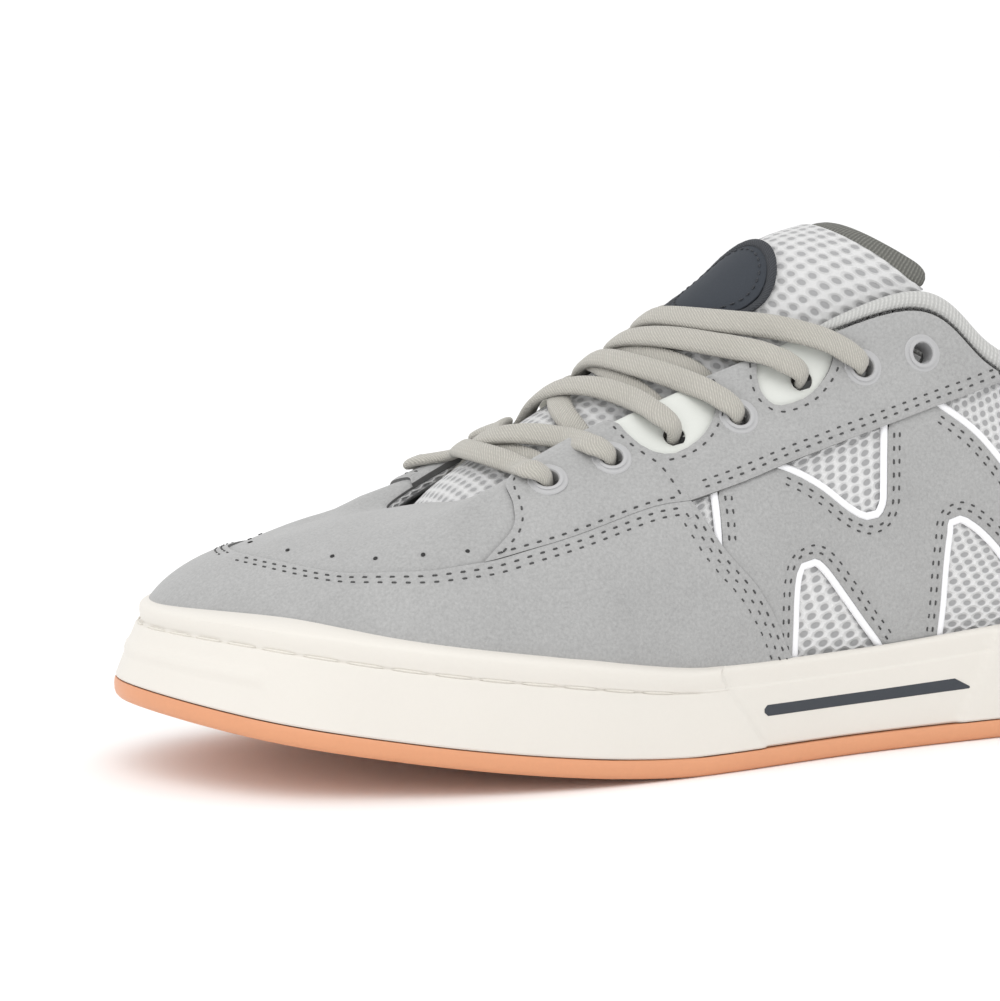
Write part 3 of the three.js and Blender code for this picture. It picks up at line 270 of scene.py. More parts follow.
def tongue_face(s, u):
    s, u = np.broadcast_arrays(np.asarray(s, float), np.asarray(u, float))
    x, z, tilt, half, drop, _ = (column(row, s, False) for row in TONGUE)
    angle = u * math.pi / 2
    fall = drop * INSTEP_HEIGHT * (1 - np.cos(angle))
    tilt = np.radians(tilt)
    return np.stack([x * LENGTH - fall * np.sin(tilt), half * BALL_WIDTH * np.sin(angle),
                     z * INSTEP_HEIGHT - fall * np.cos(tilt)], -1)


def tongue_normal(s, u):
    along = tongue_face(s + 0.01, u) - tongue_face(s - 0.01, u)
    across = tongue_face(s, u + 0.01) - tongue_face(s, u - 0.01)
    return unit(np.cross(across, along))


def on_tongue(s, u, depth=0.0):
    s, u = np.broadcast_arrays(np.asarray(s, float), np.asarray(u, float))
    return tongue_face(s, u) - tongue_normal(s, u) * np.broadcast_to(depth, s.shape)[..., None]


# Lines on the upper
FLAT = np.array([16.0, 75.0])


def flip(line):
    """A line of the outer side on the inner side."""
    line = np.asarray(line, float)
    return np.stack([STATIONS - line[:, 0], line[:, 1]], -1)


def spline(points, step, scale=1.0, least=1):
    """The stretches of a centripetal spline through points, in steps of about one length."""
    pts = np.asarray(points, float)
    pts = np.vstack([2 * pts[0] - pts[1], pts, 2 * pts[-1] - pts[-2]])
    made = []
    for p in (pts[i:i + 4] for i in range(len(pts) - 3)):
        gaps = [np.linalg.norm((p[k + 1] - p[k]) * scale) ** 0.5 + 1e-9 for k in range(3)]
        knots = np.concatenate([[0], np.cumsum(gaps)])
        n = max(least, round(np.linalg.norm((p[2] - p[1]) * scale) / step))
        t = np.linspace(knots[1], knots[2], n, endpoint=False)[:, None]
        a = [p[k] + (p[k + 1] - p[k]) * (t - knots[k]) / (knots[k + 1] - knots[k]) for k in range(3)]
        b = [a[k] + (a[k + 1] - a[k]) * (t - knots[k]) / (knots[k + 2] - knots[k]) for k in range(2)]
        made.append(b[0] + (b[1] - b[0]) * (t - knots[1]) / (knots[2] - knots[1]))
    return made


def smooth(points, step=1.2):
    """A smooth line of places on the upper through a few of them."""
    return np.vstack(spline(points, step, FLAT) + [np.asarray(points, float)[-1:]])


def chain(*lines):
    """One closed outline of smooth lines that meet at corners."""
    loop = np.vstack([np.asarray(line, float)[:-1] for line in lines])
    keep = np.linalg.norm((loop - np.roll(loop, 1, 0)) * FLAT, axis=1) > 0.05
    return loop[keep]


def level_line(q_from, q_to, level, step=1.2):
    q = np.linspace(q_from, q_to, max(2, int(abs(q_to - q_from) * 20 / step)))
    return np.stack([q, level(q)], -1)


def even(line, step):
    """The same open line with equal steps on the shoe."""
    line = np.asarray(line, float)
    at = shell(line[:, 0], line[:, 1])
    run = np.concatenate([[0], np.cumsum(np.linalg.norm(np.diff(at, axis=0), axis=1))])
    steps = np.arange(step / 2, run[-1], step)
    return np.stack([np.interp(steps, run, line[:, k]) for k in range(2)], -1)


def moved(line, by, closed=False):
    """A line beside another one, a length to its left as the shoe is looked at."""
    line = np.asarray(line, float)
    q, v = line.T
    at = shell(q, v)
    if closed:
        along = np.roll(at, -1, 0) - np.roll(at, 1, 0)
    else:
        along = np.gradient(at, axis=0)
    side = unit(np.cross(normal(q, v), along)) * by
    sq, sv = slopes(q, v)
    a, b, c = (sq * sq).sum(1), (sq * sv).sum(1), (sv * sv).sum(1)
    e, f = (side * sq).sum(1), (side * sv).sum(1)
    det = a * c - b * b
    return line + np.stack([(c * e - b * f) / det, (a * f - b * e) / det], -1)


def inside(points, loop):
    """Which points lie in a closed outline."""
    x, y = points[:, 0][:, None], points[:, 1][:, None]
    x0, y0 = loop[:, 0][None], loop[:, 1][None]
    x1, y1 = np.roll(loop[:, 0], -1)[None], np.roll(loop[:, 1], -1)[None]
    cross = (y0 > y) != (y1 > y)
    with np.errstate(divide="ignore", invalid="ignore"):
        hit = cross & (x < (x1 - x0) * (y - y0) / (y1 - y0) + x0)
    return hit.sum(1) % 2 == 1


def tree_of(points):
    tree = kdtree.KDTree(len(points))
    for i, p in enumerate(points):
        tree.insert(p, i)
    tree.balance()
    return tree


def distances(points, tree):
    if tree is None:
        return np.full(len(points), 99.0)
    return np.array([tree.find(p)[2] for p in points])


# Meshes
def tidy(ob, name, angle=40):
    """Names the piece and shades it."""
    ob.name = ob.data.name = name
    bpy.ops.object.shade_smooth_by_angle(angle=math.radians(angle))
    return ob


def only(ob):
    bpy.ops.object.select_all(action="DESELECT")
    ob.select_set(True)
    bpy.context.view_layer.objects.active = ob


def mend(ob, merge=0.0, fill=False):
    """Joins near vertices of a piece, fills its open ends and turns its faces outwards."""
    only(ob)
    bpy.ops.object.mode_set(mode="EDIT")
    bpy.ops.mesh.select_all(action="SELECT")
    if merge:
        bpy.ops.mesh.remove_doubles(threshold=merge)
    if fill:
        bpy.ops.mesh.select_all(action="DESELECT")
        bpy.ops.mesh.select_non_manifold(extend=False)
        bpy.ops.mesh.fill_holes(sides=0)
        bpy.ops.mesh.select_all(action="SELECT")
    bpy.ops.mesh.normals_make_consistent(inside=False)
    bpy.ops.object.mode_set(mode="OBJECT")


def loft(name, rings, around=False, section=True, capped=True, along_uv=None, angle=40):
    """A skin through rings of points, from a grid whose rows are laid on the rings. around joins the
    last ring to the first, and section joins the ends of each ring."""
    rings = np.asarray(rings, float)
    rows, cols = rings.shape[:2]
    nx, ny = (cols if section else cols - 1), (rows if around else rows - 1)
    bpy.ops.object.select_all(action="DESELECT")
    bpy.ops.mesh.primitive_grid_add(x_subdivisions=nx, y_subdivisions=ny, size=2, calc_uvs=True)
    ob = bpy.context.object
    me = ob.data
    co = np.empty(len(me.vertices) * 3)
    me.vertices.foreach_get("co", co)
    co = co.reshape(-1, 3)
    i = np.rint((co[:, 0] + 1) / 2 * nx).astype(int)
    j = np.rint((co[:, 1] + 1) / 2 * ny).astype(int)
    me.vertices.foreach_set("co", (rings[j % rows, i % cols] * MM).ravel())
    across = np.linalg.norm(np.diff(np.concatenate([rings, rings[:, :1]], 1), axis=1), axis=2).mean(0)
    along = np.linalg.norm(np.diff(np.concatenate([rings, rings[:1]], 0), axis=0), axis=2).mean(1)
    us = np.concatenate([[0], np.cumsum(across)])[:nx + 1] * MM
    vs = (np.concatenate([[0], np.cumsum(along)]) if along_uv is None else np.asarray(along_uv))[:ny + 1] * MM
    loops = np.empty(len(me.loops), int)
    me.loops.foreach_get("vertex_index", loops)
    uv = np.stack([us[i[loops]], vs[j[loops]]], -1)
    me.uv_layers.active.data.foreach_set("uv", uv.ravel())
    mend(ob, 1e-7, capped and section and not around)
    return tidy(ob, name, angle)


def from_faces(name, points, faces, angle=40):
    me = bpy.data.meshes.new(name)
    places = [tuple(p) for p in np.asarray(points) * MM]
    me.from_pydata(places, [], [tuple(int(i) for i in f) for f in faces])
    ob = bpy.data.objects.new(name, me)
    bpy.context.collection.objects.link(ob)
    mend(ob)
    return tidy(ob, name, angle)


def joined(name, parts):
    bpy.ops.object.select_all(action="DESELECT")
    for part in parts:
        part.select_set(True)
    bpy.context.view_layer.objects.active = parts[0]
    if len(parts) > 1:
        bpy.ops.object.join()
    parts[0].name = parts[0].data.name = name
    return parts[0]


def filled(points, loops, size):
    """Triangles over flat points inside closed outlines, whose points come first."""
    edges, start = [], 0
    for n in loops:
        edges += [(start + k, start + (k + 1) % n) for k in range(n)]
        start += n
    flat = [Vector(p) for p in points * size]
    verts, _, faces, _, _, _ = geometry.delaunay_2d_cdt(flat, edges, [], 1, 1e-4)
    made = np.array([tuple(p) for p in verts]) / size
    return made, np.array([tuple(f) for f in faces])


SUEDE_STEP = 2.4
EDGE_ROUND = [0.35, 0.8, 1.5]


def hole_loop(q, v, radius, n=24):
    """A ring of places on the upper round one point."""
    along, up = slopes(q, v)
    x = unit(along)
    y = unit(up - x * (up @ x))
    turn = np.arange(n) * 2 * math.pi / n
    side = radius * (np.cos(turn)[:, None] * x + np.sin(turn)[:, None] * y)
    a, b, c = along @ along, along @ up, up @ up
    e, f = side @ along, side @ up
    det = a * c - b * b
    return np.array([q, v]) + np.stack([(c * e - b * f) / det, (a * f - b * e) / det], -1)


def creased(at):
    """How much deeper the soft creases put places of the surface."""
    depth = np.zeros(len(at))
    for a, b, width, deep in CREASES:
        pa, pb = shell(*a), shell(*b)
        t = np.clip(((at - pa) @ (pb - pa)) / ((pb - pa) @ (pb - pa)), 0, 1)
        away = np.linalg.norm(at - pa - t[:, None] * (pb - pa), axis=1)
        depth += deep * np.exp(-(away / width) ** 2) - 0.5 * deep * np.exp(-((away - 2 * width) / width) ** 2)
    return depth


def panel(name, outline, rows=(), top=0.0, under=1.35, edge=0.32, holes=(), trough=TROUGH, puff=0.25,
          step=SUEDE_STEP):
    """A cut piece of sheet on the upper, with rounded edges, sunk stitch rows and open lace holes."""
    outline = np.asarray(outline, float)
    loops = [outline] + [hole_loop(q, v, r) for q, v, r in holes]
    border = shell(*np.vstack(loops).T)
    dense = np.vstack([border, (border + np.roll(border, -1, 0)) / 2])
    edge_tree = tree_of(dense[np.isfinite(dense).all(1)])
    centres = [(shell(q, v), r) for q, v, r in holes]

    def free(line):
        line = np.asarray(line, float)
        keep = inside(line, outline)
        at = shell(*line.T)
        for centre, r in centres:
            keep &= np.linalg.norm(at - centre, axis=1) > r
        return line[keep], at[keep]

    trial, _ = free(moved(outline, 0.8, True))
    turn = 1 if len(trial) > len(outline) / 2 else -1
    groups = []
    for by in EDGE_ROUND:
        for loop in [moved(outline, by * turn, True)] + [hole_loop(q, v, r + by) for q, v, r in holes]:
            ring, at = free(loop)
            groups.append(ring[distances(at, edge_tree) > by * 0.8])
    row_tree = None
    if len(rows):
        row_lines = [even(row, 1.3) for row in rows]
        row_tree = tree_of(shell(*np.vstack([even(row, 0.5) for row in rows]).T))
        for row in row_lines:
            for by in (0, 0.75, -0.75):
                line, at = free(moved(row, by) if by else row)
                near = distances(at, edge_tree) > 0.5
                if by:
                    near &= distances(at, row_tree) > 0.55
                groups.append(line[near])
    placed = np.vstack([g for g in groups if len(g)])
    taken = tree_of(np.vstack([shell(*placed.T), border]))
    low, high = outline.min(0), outline.max(0)
    mid = (low + high) / 2
    along, up = slopes(mid[0], mid[1])
    dq, dv = step / np.linalg.norm(along), step * 0.87 / np.linalg.norm(up)
    qs = np.arange(low[0], high[0], dq)
    vs = np.arange(low[1], high[1], dv)
    grid = np.stack(np.meshgrid(qs, vs, indexing="ij"), -1)
    grid[:, 1::2, 0] += dq / 2
    grid, at = free(grid.reshape(-1, 2))
    grid = grid[distances(at, taken) > step * 0.55]
    points = np.vstack(loops + [placed, grid])
    made, faces = filled(points, [len(loop) for loop in loops], FLAT)
    middle = made[faces].mean(1)
    keep = inside(middle, outline)
    at = shell(*middle.T)
    for centre, r in centres:
        keep &= np.linalg.norm(at - centre, axis=1) > r * 0.93
    faces = faces[keep]
    at = shell(*made.T)
    far = distances(at, edge_tree)
    depth = top + edge * np.clip(1 - far / EDGE_ROUND[-1], 0, 1) ** 2.2 - puff * (1 - np.exp(-far / 6))
    depth += trough * np.exp(-(distances(at, row_tree) / 0.6) ** 2)
    depth += creased(at)
    upper = at - normal(*made.T) * depth[:, None]
    lower = at - normal(*made.T) * under
    n = len(made)
    sides = {}
    for f in faces:
        for k in range(3):
            sides[(f[k], f[(k + 1) % 3])] = True
    rim = [(a, b) for a, b in sides if (b, a) not in sides]
    solid = [tuple(f) for f in faces] + [tuple(n + i for i in reversed(f)) for f in faces]
    solid += [(b, a, n + a, n + b) for a, b in rim]
    made = from_faces(name, np.vstack([upper, lower]), solid)
    # Rim faces take the second material; on suede it is the darkened edge colour, painted shade on the cut
    # edge.
    for polygon in made.data.polygons[-len(rim):]:
        polygon.material_index = 1
    return made


def sweep(name, centres, ups, profile, closed=False, scale=None, angle=50):
    """A profile drawn along a line. ups says which way the profile's second axis looks."""
    centres, profile = np.asarray(centres, float), np.asarray(profile, float)
    along = np.roll(centres, -1, 0) - np.roll(centres, 1, 0) if closed else np.gradient(centres, axis=0)
    along = unit(along)
    side = unit(np.cross(along, ups))
    up = unit(np.cross(side, along))
    grow = np.ones(len(centres)) if scale is None else np.asarray(scale)
    drawn = side[:, None] * profile[None, :, :1] + up[:, None] * profile[None, :, 1:]
    rings = centres[:, None] + drawn * grow[:, None, None]
    return loft(name, rings, around=closed, angle=angle)


def oval(width, height, n=14, power=0.85):
    turn = np.arange(n) * 2 * math.pi / n
    x, y = np.cos(turn), np.sin(turn)
    return np.stack([np.sign(x) * abs(x) ** power * width / 2, np.sign(y) * abs(y) ** power * height / 2], -1)


def stitches(name, rows, pitch, length, width=0.5):
    """Short threads along rows of a line and its depth: one small lozenge, copied from place to place."""
    shape, faces = [], []
    for x, r in ((-0.5, 0.25), (-0.3, 1.0), (0.3, 1.0), (0.5, 0.25)):
        for k in range(5):
            a = k * 2 * math.pi / 5
            shape.append((x * length, r * width / 2 * math.cos(a), r * width / 2 * math.sin(a)))
    for k in range(3):
        for i in range(5):
            j = (i + 1) % 5
            faces.append((k * 5 + i, k * 5 + j, k * 5 + 5 + j, k * 5 + 5 + i))
    faces += [(4, 3, 2, 1, 0), (15, 16, 17, 18, 19)]
    shape, points, all_faces = np.array(shape), [], []
    for row, depth in rows:
        line = even(row, pitch)
        if len(line) < 2:
            continue
        q, v = line.T
        out = normal(q, v)
        at = shell(q, v)
        at = at - out * (depth + creased(at))[:, None]
        ahead = unit(np.gradient(at, axis=0))
        side = unit(np.cross(out, ahead))
        for p, x, y, z in zip(at, ahead, side, out):
            base = len(points) * len(shape)
            sag = -0.35 * (shape[:, :1] / length * 2) ** 2 * z * 0.9
            points.append(p + shape[:, :1] * x + shape[:, 1:2] * y + shape[:, 2:] * z + sag)
            all_faces += [tuple(base + i for i in f) for f in faces]
    return from_faces(name, np.vstack(points), all_faces, angle=80)


# Shader groups and materials
def group(name, sockets):
    tree = bpy.data.node_groups.new(name, "ShaderNodeTree")
    for socket, way, kind, value in sockets:
        made = tree.interface.new_socket(socket, in_out=way, socket_type=kind)
        if value is not None:
            made.default_value = value
    return tree, tree.nodes.new("NodeGroupInput"), tree.nodes.new("NodeGroupOutput")


def math_node(tree, operation, a, b=None):
    node = tree.nodes.new("ShaderNodeMath")
    node.operation = operation
    for k, value in enumerate((a, b)):
        if value is None:
            continue
        if isinstance(value, (int, float)):
            node.inputs[k].default_value = value
        else:
            tree.links.new(value, node.inputs[k])
    return node.outputs[0]


def speckle_group():
    """Fine and coarse mottling of a colour, with a height for bump."""
    tree, given, out = group("Speckle", [
        ("Vector", "INPUT", "NodeSocketVector", None), ("Colour", "INPUT", "NodeSocketColor", None),
        ("Grain per metre", "INPUT", "NodeSocketFloat", 1200.0),
        ("Contrast", "INPUT", "NodeSocketFloat", 0.2),
        ("Clouds", "INPUT", "NodeSocketFloat", 0.1),
        ("Colour", "OUTPUT", "NodeSocketColor", None), ("Height", "OUTPUT", "NodeSocketFloat", None)])
    calc = functools.partial(math_node, tree)
    fine = tree.nodes.new("ShaderNodeTexNoise")
    fine.inputs["Detail"].default_value = 3
    fine.inputs["Roughness"].default_value = 0.7
    coarse = tree.nodes.new("ShaderNodeTexNoise")
    coarse.inputs["Scale"].default_value = 55
    coarse.inputs["Detail"].default_value = 3
    tree.links.new(given.outputs["Vector"], fine.inputs["Vector"])
    tree.links.new(given.outputs["Vector"], coarse.inputs["Vector"])
    tree.links.new(given.outputs["Grain per metre"], fine.inputs["Scale"])
    a = calc("MULTIPLY", calc("SUBTRACT", fine.outputs[0], 0.5), given.outputs["Contrast"])
    b = calc("MULTIPLY", calc("SUBTRACT", coarse.outputs[0], 0.5), given.outputs["Clouds"])
    level = calc("ADD", calc("ADD", a, b), 1.0)
    scale = tree.nodes.new("ShaderNodeVectorMath")
    scale.operation = "SCALE"
    tree.links.new(given.outputs["Colour"], scale.inputs[0])
    tree.links.new(level, scale.inputs["Scale"])
    tree.links.new(scale.outputs[0], out.inputs["Colour"])
    tree.links.new(fine.outputs[0], out.inputs["Height"])
    return tree


def mesh_group():
    """Staggered oval openings of an air mesh: 1 in a hole, 0 on the cloth."""
    tree, given, out = group("Open mesh", [
        ("Vector", "INPUT", "NodeSocketVector", None), ("Pitch", "INPUT", "NodeSocketFloat", 0.0034),
        ("Row", "INPUT", "NodeSocketFloat", 0.0019), ("Hole width", "INPUT", "NodeSocketFloat", 0.0021),
        ("Hole height", "INPUT", "NodeSocketFloat", 0.0016),
        ("Hole", "OUTPUT", "NodeSocketFloat", None), ("Rise", "OUTPUT", "NodeSocketFloat", None)])
    calc = functools.partial(math_node, tree)
    wobble = tree.nodes.new("ShaderNodeTexNoise")
    wobble.inputs["Scale"].default_value = 260
    tree.links.new(given.outputs["Vector"], wobble.inputs["Vector"])
    split = tree.nodes.new("ShaderNodeSeparateXYZ")
    tree.links.new(given.outputs["Vector"], split.inputs[0])
    drift = calc("MULTIPLY", calc("SUBTRACT", wobble.outputs[0], 0.5), 0.0008)
    x = calc("DIVIDE", calc("ADD", split.outputs[0], drift), given.outputs["Pitch"])
    y = calc("DIVIDE", calc("ADD", split.outputs[1], drift),
                  calc("MULTIPLY", given.outputs["Row"], 2.0))
    spots = []
    for shift in (0.0, 0.5):
        fx = calc("SUBTRACT", calc("FRACT", calc("ADD", x, 100 + shift)), 0.5)
        fy = calc("SUBTRACT", calc("FRACT", calc("ADD", y, 100 + shift)), 0.5)
        dx = calc("DIVIDE", calc("MULTIPLY", fx, given.outputs["Pitch"]), given.outputs["Hole width"])
        dy = calc("DIVIDE", calc("MULTIPLY", calc("MULTIPLY", fy, 2.0), given.outputs["Row"]),
                       given.outputs["Hole height"])
        far = calc("SQRT", calc("ADD", calc("MULTIPLY", dx, dx),
                                               calc("MULTIPLY", dy, dy)))
        spots.append(far)
    near = calc("MINIMUM", spots[0], spots[1])
    for low, high, socket in ((0.62, 0.38, "Hole"), (0.3, 1.0, "Rise")):
        ramp = tree.nodes.new("ShaderNodeMapRange")
        ramp.interpolation_type = "SMOOTHSTEP"
        ramp.inputs["From Min"].default_value = low
        ramp.inputs["From Max"].default_value = high
        tree.links.new(near, ramp.inputs["Value"])
        tree.links.new(ramp.outputs[0], out.inputs[socket])
    return tree


def ribs_group():
    """Two crossing waves for knits, webbings and woven laces, as one height from 0 to 1."""
    tree, given, out = group("Ribs", [
        ("Vector", "INPUT", "NodeSocketVector", None), ("Across", "INPUT", "NodeSocketFloat", 0.001),
        ("Along", "INPUT", "NodeSocketFloat", 0.001), ("Slant", "INPUT", "NodeSocketFloat", 0.0),
        ("Height", "OUTPUT", "NodeSocketFloat", None)])
    calc = functools.partial(math_node, tree)
    wobble = tree.nodes.new("ShaderNodeTexNoise")
    wobble.inputs["Scale"].default_value = 500
    tree.links.new(given.outputs["Vector"], wobble.inputs["Vector"])
    drift = calc("MULTIPLY", calc("SUBTRACT", wobble.outputs[0], 0.5), 0.0004)
    split = tree.nodes.new("ShaderNodeSeparateXYZ")
    tree.links.new(given.outputs["Vector"], split.inputs[0])
    x = calc("ADD", split.outputs[0], drift)
    y = calc("ADD", split.outputs[1], drift)
    tilt = calc("MULTIPLY", x, given.outputs["Slant"])
    waves = []
    for value, pitch in ((calc("ADD", y, tilt), "Along"), (calc("SUBTRACT", x, 0.0), "Across")):
        turn = calc("MULTIPLY", calc("DIVIDE", value, given.outputs[pitch]), 2 * math.pi)
        waves.append(calc("MULTIPLY", calc("ADD", calc("SINE", turn), 1.0), 0.5))
    tree.links.new(calc("MULTIPLY", waves[0], calc("ADD", calc("MULTIPLY", waves[1], 0.5), 0.5)),
                   out.inputs["Height"])
    return tree


GROUPS = {}


def use_group(tree, name):
    makers = {"Speckle": speckle_group, "Open mesh": mesh_group, "Ribs": ribs_group}
    if name not in GROUPS:
        GROUPS[name] = makers[name]()
    node = tree.nodes.new("ShaderNodeGroup")
    node.node_tree = GROUPS[name]
    return node


def material(name, colour, roughness=0.8, grain=1200.0, contrast=0.2, clouds=0.1, bump=0.2, bump_mm=0.15,
             ribs=None, dark=None, sheen=0.0, coat=0.0):
    """A mottled material. ribs are the pitches across and along and the slant of a woven face, and
    dark is the colour painted in the valleys between its threads: painted shade in the weave."""
    made = bpy.data.materials.new(name)
    made.use_nodes = True
    tree = made.node_tree
    shader = tree.nodes["Principled BSDF"]
    shader.inputs["Roughness"].default_value = roughness
    shader.inputs["Sheen Weight"].default_value = sheen
    shader.inputs["Sheen Roughness"].default_value = 0.5
    shader.inputs["Coat Weight"].default_value = coat
    shader.inputs["Coat Roughness"].default_value = 0.35
    where = tree.nodes.new("ShaderNodeTexCoord")
    mottle = use_group(tree, "Speckle")
    tree.links.new(where.outputs["Object"], mottle.inputs["Vector"])
    mottle.inputs["Colour"].default_value = (*colour, 1)
    mottle.inputs["Grain per metre"].default_value = grain
    mottle.inputs["Contrast"].default_value = contrast
    mottle.inputs["Clouds"].default_value = clouds
    shade, height = mottle.outputs["Colour"], mottle.outputs["Height"]
    if ribs:
        weave = use_group(tree, "Ribs")
        tree.links.new(where.outputs["UV"], weave.inputs["Vector"])
        for socket, value in zip(("Across", "Along", "Slant"), ribs):
            weave.inputs[socket].default_value = value
        # Painted shade: the valleys of the weave take the darker colour.
        mix = tree.nodes.new("ShaderNodeMix")
        mix.data_type = "RGBA"
        tree.links.new(weave.outputs["Height"], mix.inputs["Factor"])
        mix.inputs["A"].default_value = (*dark, 1)
        tree.links.new(shade, mix.inputs["B"])
        shade = mix.outputs["Result"]
        height = math_node(tree, "ADD", weave.outputs["Height"], math_node(tree, "MULTIPLY", height, 0.4))
    tree.links.new(shade, shader.inputs["Base Color"])
    relief = tree.nodes.new("ShaderNodeBump")
    relief.inputs["Strength"].default_value = bump
    relief.inputs["Distance"].default_value = bump_mm * MM
    tree.links.new(height, relief.inputs["Height"])
    tree.links.new(relief.outputs[0], shader.inputs["Normal"])
    return made


def mesh_material(name, cloth, hole, pitches, turn):
    """Air mesh: pale cloth with rows of oval openings that show the grey layer below. pitches are the
    steps along a row and from row to row and a hole's width and height, turn is the rows' angle."""
    made = material(name, cloth, 0.85, 2600.0, 0.22, 0.05, 0.3, 0.1, sheen=0.1)
    tree = made.node_tree
    shader = tree.nodes["Principled BSDF"]
    where = next(n for n in tree.nodes if n.type == "TEX_COORD")
    openings = use_group(tree, "Open mesh")
    openings.inputs["Pitch"].default_value = pitches[0]
    openings.inputs["Row"].default_value = pitches[1]
    openings.inputs["Hole width"].default_value = pitches[2]
    openings.inputs["Hole height"].default_value = pitches[3]
    turned = tree.nodes.new("ShaderNodeMapping")
    turned.inputs["Rotation"].default_value = (0, 0, math.radians(turn))
    tree.links.new(where.outputs["UV"], turned.inputs["Vector"])
    tree.links.new(turned.outputs["Vector"], openings.inputs["Vector"])
    mix = tree.nodes.new("ShaderNodeMix")
    mix.data_type = "RGBA"
    tree.links.new(openings.outputs["Hole"], mix.inputs["Factor"])
    tree.links.new(shader.inputs["Base Color"].links[0].from_socket, mix.inputs["A"])
    mix.inputs["B"].default_value = (*hole, 1)
    tree.links.new(mix.outputs["Result"], shader.inputs["Base Color"])
    relief = tree.nodes.new("ShaderNodeBump")
    relief.inputs["Strength"].default_value = 0.8
    relief.inputs["Distance"].default_value = 0.7 * MM
    tree.links.new(openings.outputs["Rise"], relief.inputs["Height"])
    tree.links.new(shader.inputs["Normal"].links[0].from_socket, relief.inputs["Normal"])
    tree.links.new(relief.outputs[0], shader.inputs["Normal"])
    return made


def finish(ob, materials, slot, *replaced):
    """Gives a piece its materials and its place on the solid model."""
    numbers = [polygon.material_index for polygon in ob.data.polygons]
    ob.data.materials.clear()
    for made in materials:
        ob.data.materials.append(made)
    ob.data.polygons.foreach_set("material_index", [min(k, len(materials) - 1) for k in numbers])
    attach(ob, "root")
    if replaced:
        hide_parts(*replaced)
    return ob


MATERIALS = {}


def colours():
    return bpy.context.scene.shoe_colours


def dimmed(colour, share):
    return tuple(share * k for k in colour)


def look(name):
    """Each material is built once, from the colours of the property group."""
    c = colours()
    makers = {
        "suede": lambda: material("Grey suede", c.suede, 0.95, 1400.0, 0.62, 0.16, 0.6, 0.2, sheen=0.2),
        # The cut edge is the suede colour darkened to 0.42: painted shade along the edges of the overlays.
        "suede_edge_painted_shade": lambda: material("Cut suede edge", dimmed(c.suede, 0.42), 1.0, 2000.0, 0.3, 0.1, 0.3,
                                       0.1),
        "mesh": lambda: mesh_material("White air mesh", c.mesh, c.mesh_hole,
                                      (0.0036, 0.0019, 0.0019, 0.0015), 90),
        "tongue_mesh": lambda: mesh_material("White tongue mesh", dimmed(c.mesh, 0.87), c.mesh_hole,
                                             (0.0042, 0.0021, 0.0017, 0.0014), 45),
        "lining": lambda: material("Lining cloth", c.lining, 0.95, 2200.0, 0.25, 0.06, 0.3, 0.1),
        # The dark colours of the knit, lace, webbing and patch thread are painted shade between their
        # threads.
        "knit": lambda: material("Ribbed knit", c.knit, 0.95, 2600.0, 0.3, 0.05, 0.6, 0.3,
                                 ribs=(0.0012, 0.0011, 0.0), dark=dimmed(c.knit, 0.74), sheen=0.2),
        "rubber": lambda: material("Cream rubber", c.rubber, 0.5, 900.0, 0.03, 0.03, 0.06, 0.1, coat=0.08),
        "gum": lambda: material("Gum rubber", c.gum, 0.45, 800.0, 0.08, 0.06, 0.08, 0.1, coat=0.1),
        "navy": lambda: material("Slate blue inlay", c.navy, 0.5, 1200.0, 0.1, 0.05, 0.1, 0.1),
        "patch": lambda: material("Slate blue felt", c.navy, 0.85, 2400.0, 0.35, 0.05, 0.5, 0.15),
        "thread": lambda: material("Grey thread", c.thread, 0.7, 3000.0, 0.3, 0.0, 0.2, 0.05),
        "sole_thread": lambda: material("Cream thread", c.sole_thread, 0.7, 3000.0, 0.2, 0.0, 0.2, 0.05),
        "patch_thread": lambda: material("Dark thread", c.patch_thread, 0.75, 2600.0, 0.3, 0.0, 0.8, 0.3,
                                         ribs=(0.05, 0.0009, 1.0), dark=dimmed(c.patch_thread, 0.5)),
        "piping": lambda: material("White piping", c.piping, 0.4, 1500.0, 0.03, 0.02, 0.1, 0.05, coat=0.1),
        "tab": lambda: material("Smooth tab", c.tab, 0.45, 1300.0, 0.05, 0.04, 0.12, 0.08, coat=0.1),
        "eyelet": lambda: material("Painted eyelet", c.eyelet, 0.35, 1500.0, 0.03, 0.02, 0.05, 0.05,
                                   coat=0.15),
        "lace": lambda: material("Woven lace", c.lace, 0.9, 3000.0, 0.3, 0.08, 0.8, 0.25,
                                 ribs=(0.0011, 0.0008, 0.9), dark=dimmed(c.lace, 0.72), sheen=0.2),
        "webbing": lambda: material("Woven webbing", c.webbing, 0.85, 2600.0, 0.3, 0.05, 0.9, 0.3,
                                    ribs=(0.0012, 0.0009, 0.0), dark=dimmed(c.webbing, 0.5)),
        # Near-black colour of the pinholes: painted shade inside the perforations.
        "dark": lambda: material("Pinhole dark", (0.03, 0.03, 0.03), 1.0, 1500.0, 0.1, 0.0, 0.1, 0.05),
    }
    if name not in MATERIALS:
        MATERIALS[name] = makers[name]()
    return MATERIALS[name]


# Pieces
# The height of the sole's groove as a share of its wall, and the stations where the front wall and
# the cut-in waist begin
GROOVE, FRONT_STEP, WAIST_STEP = 0.735, 4.77, 3.23


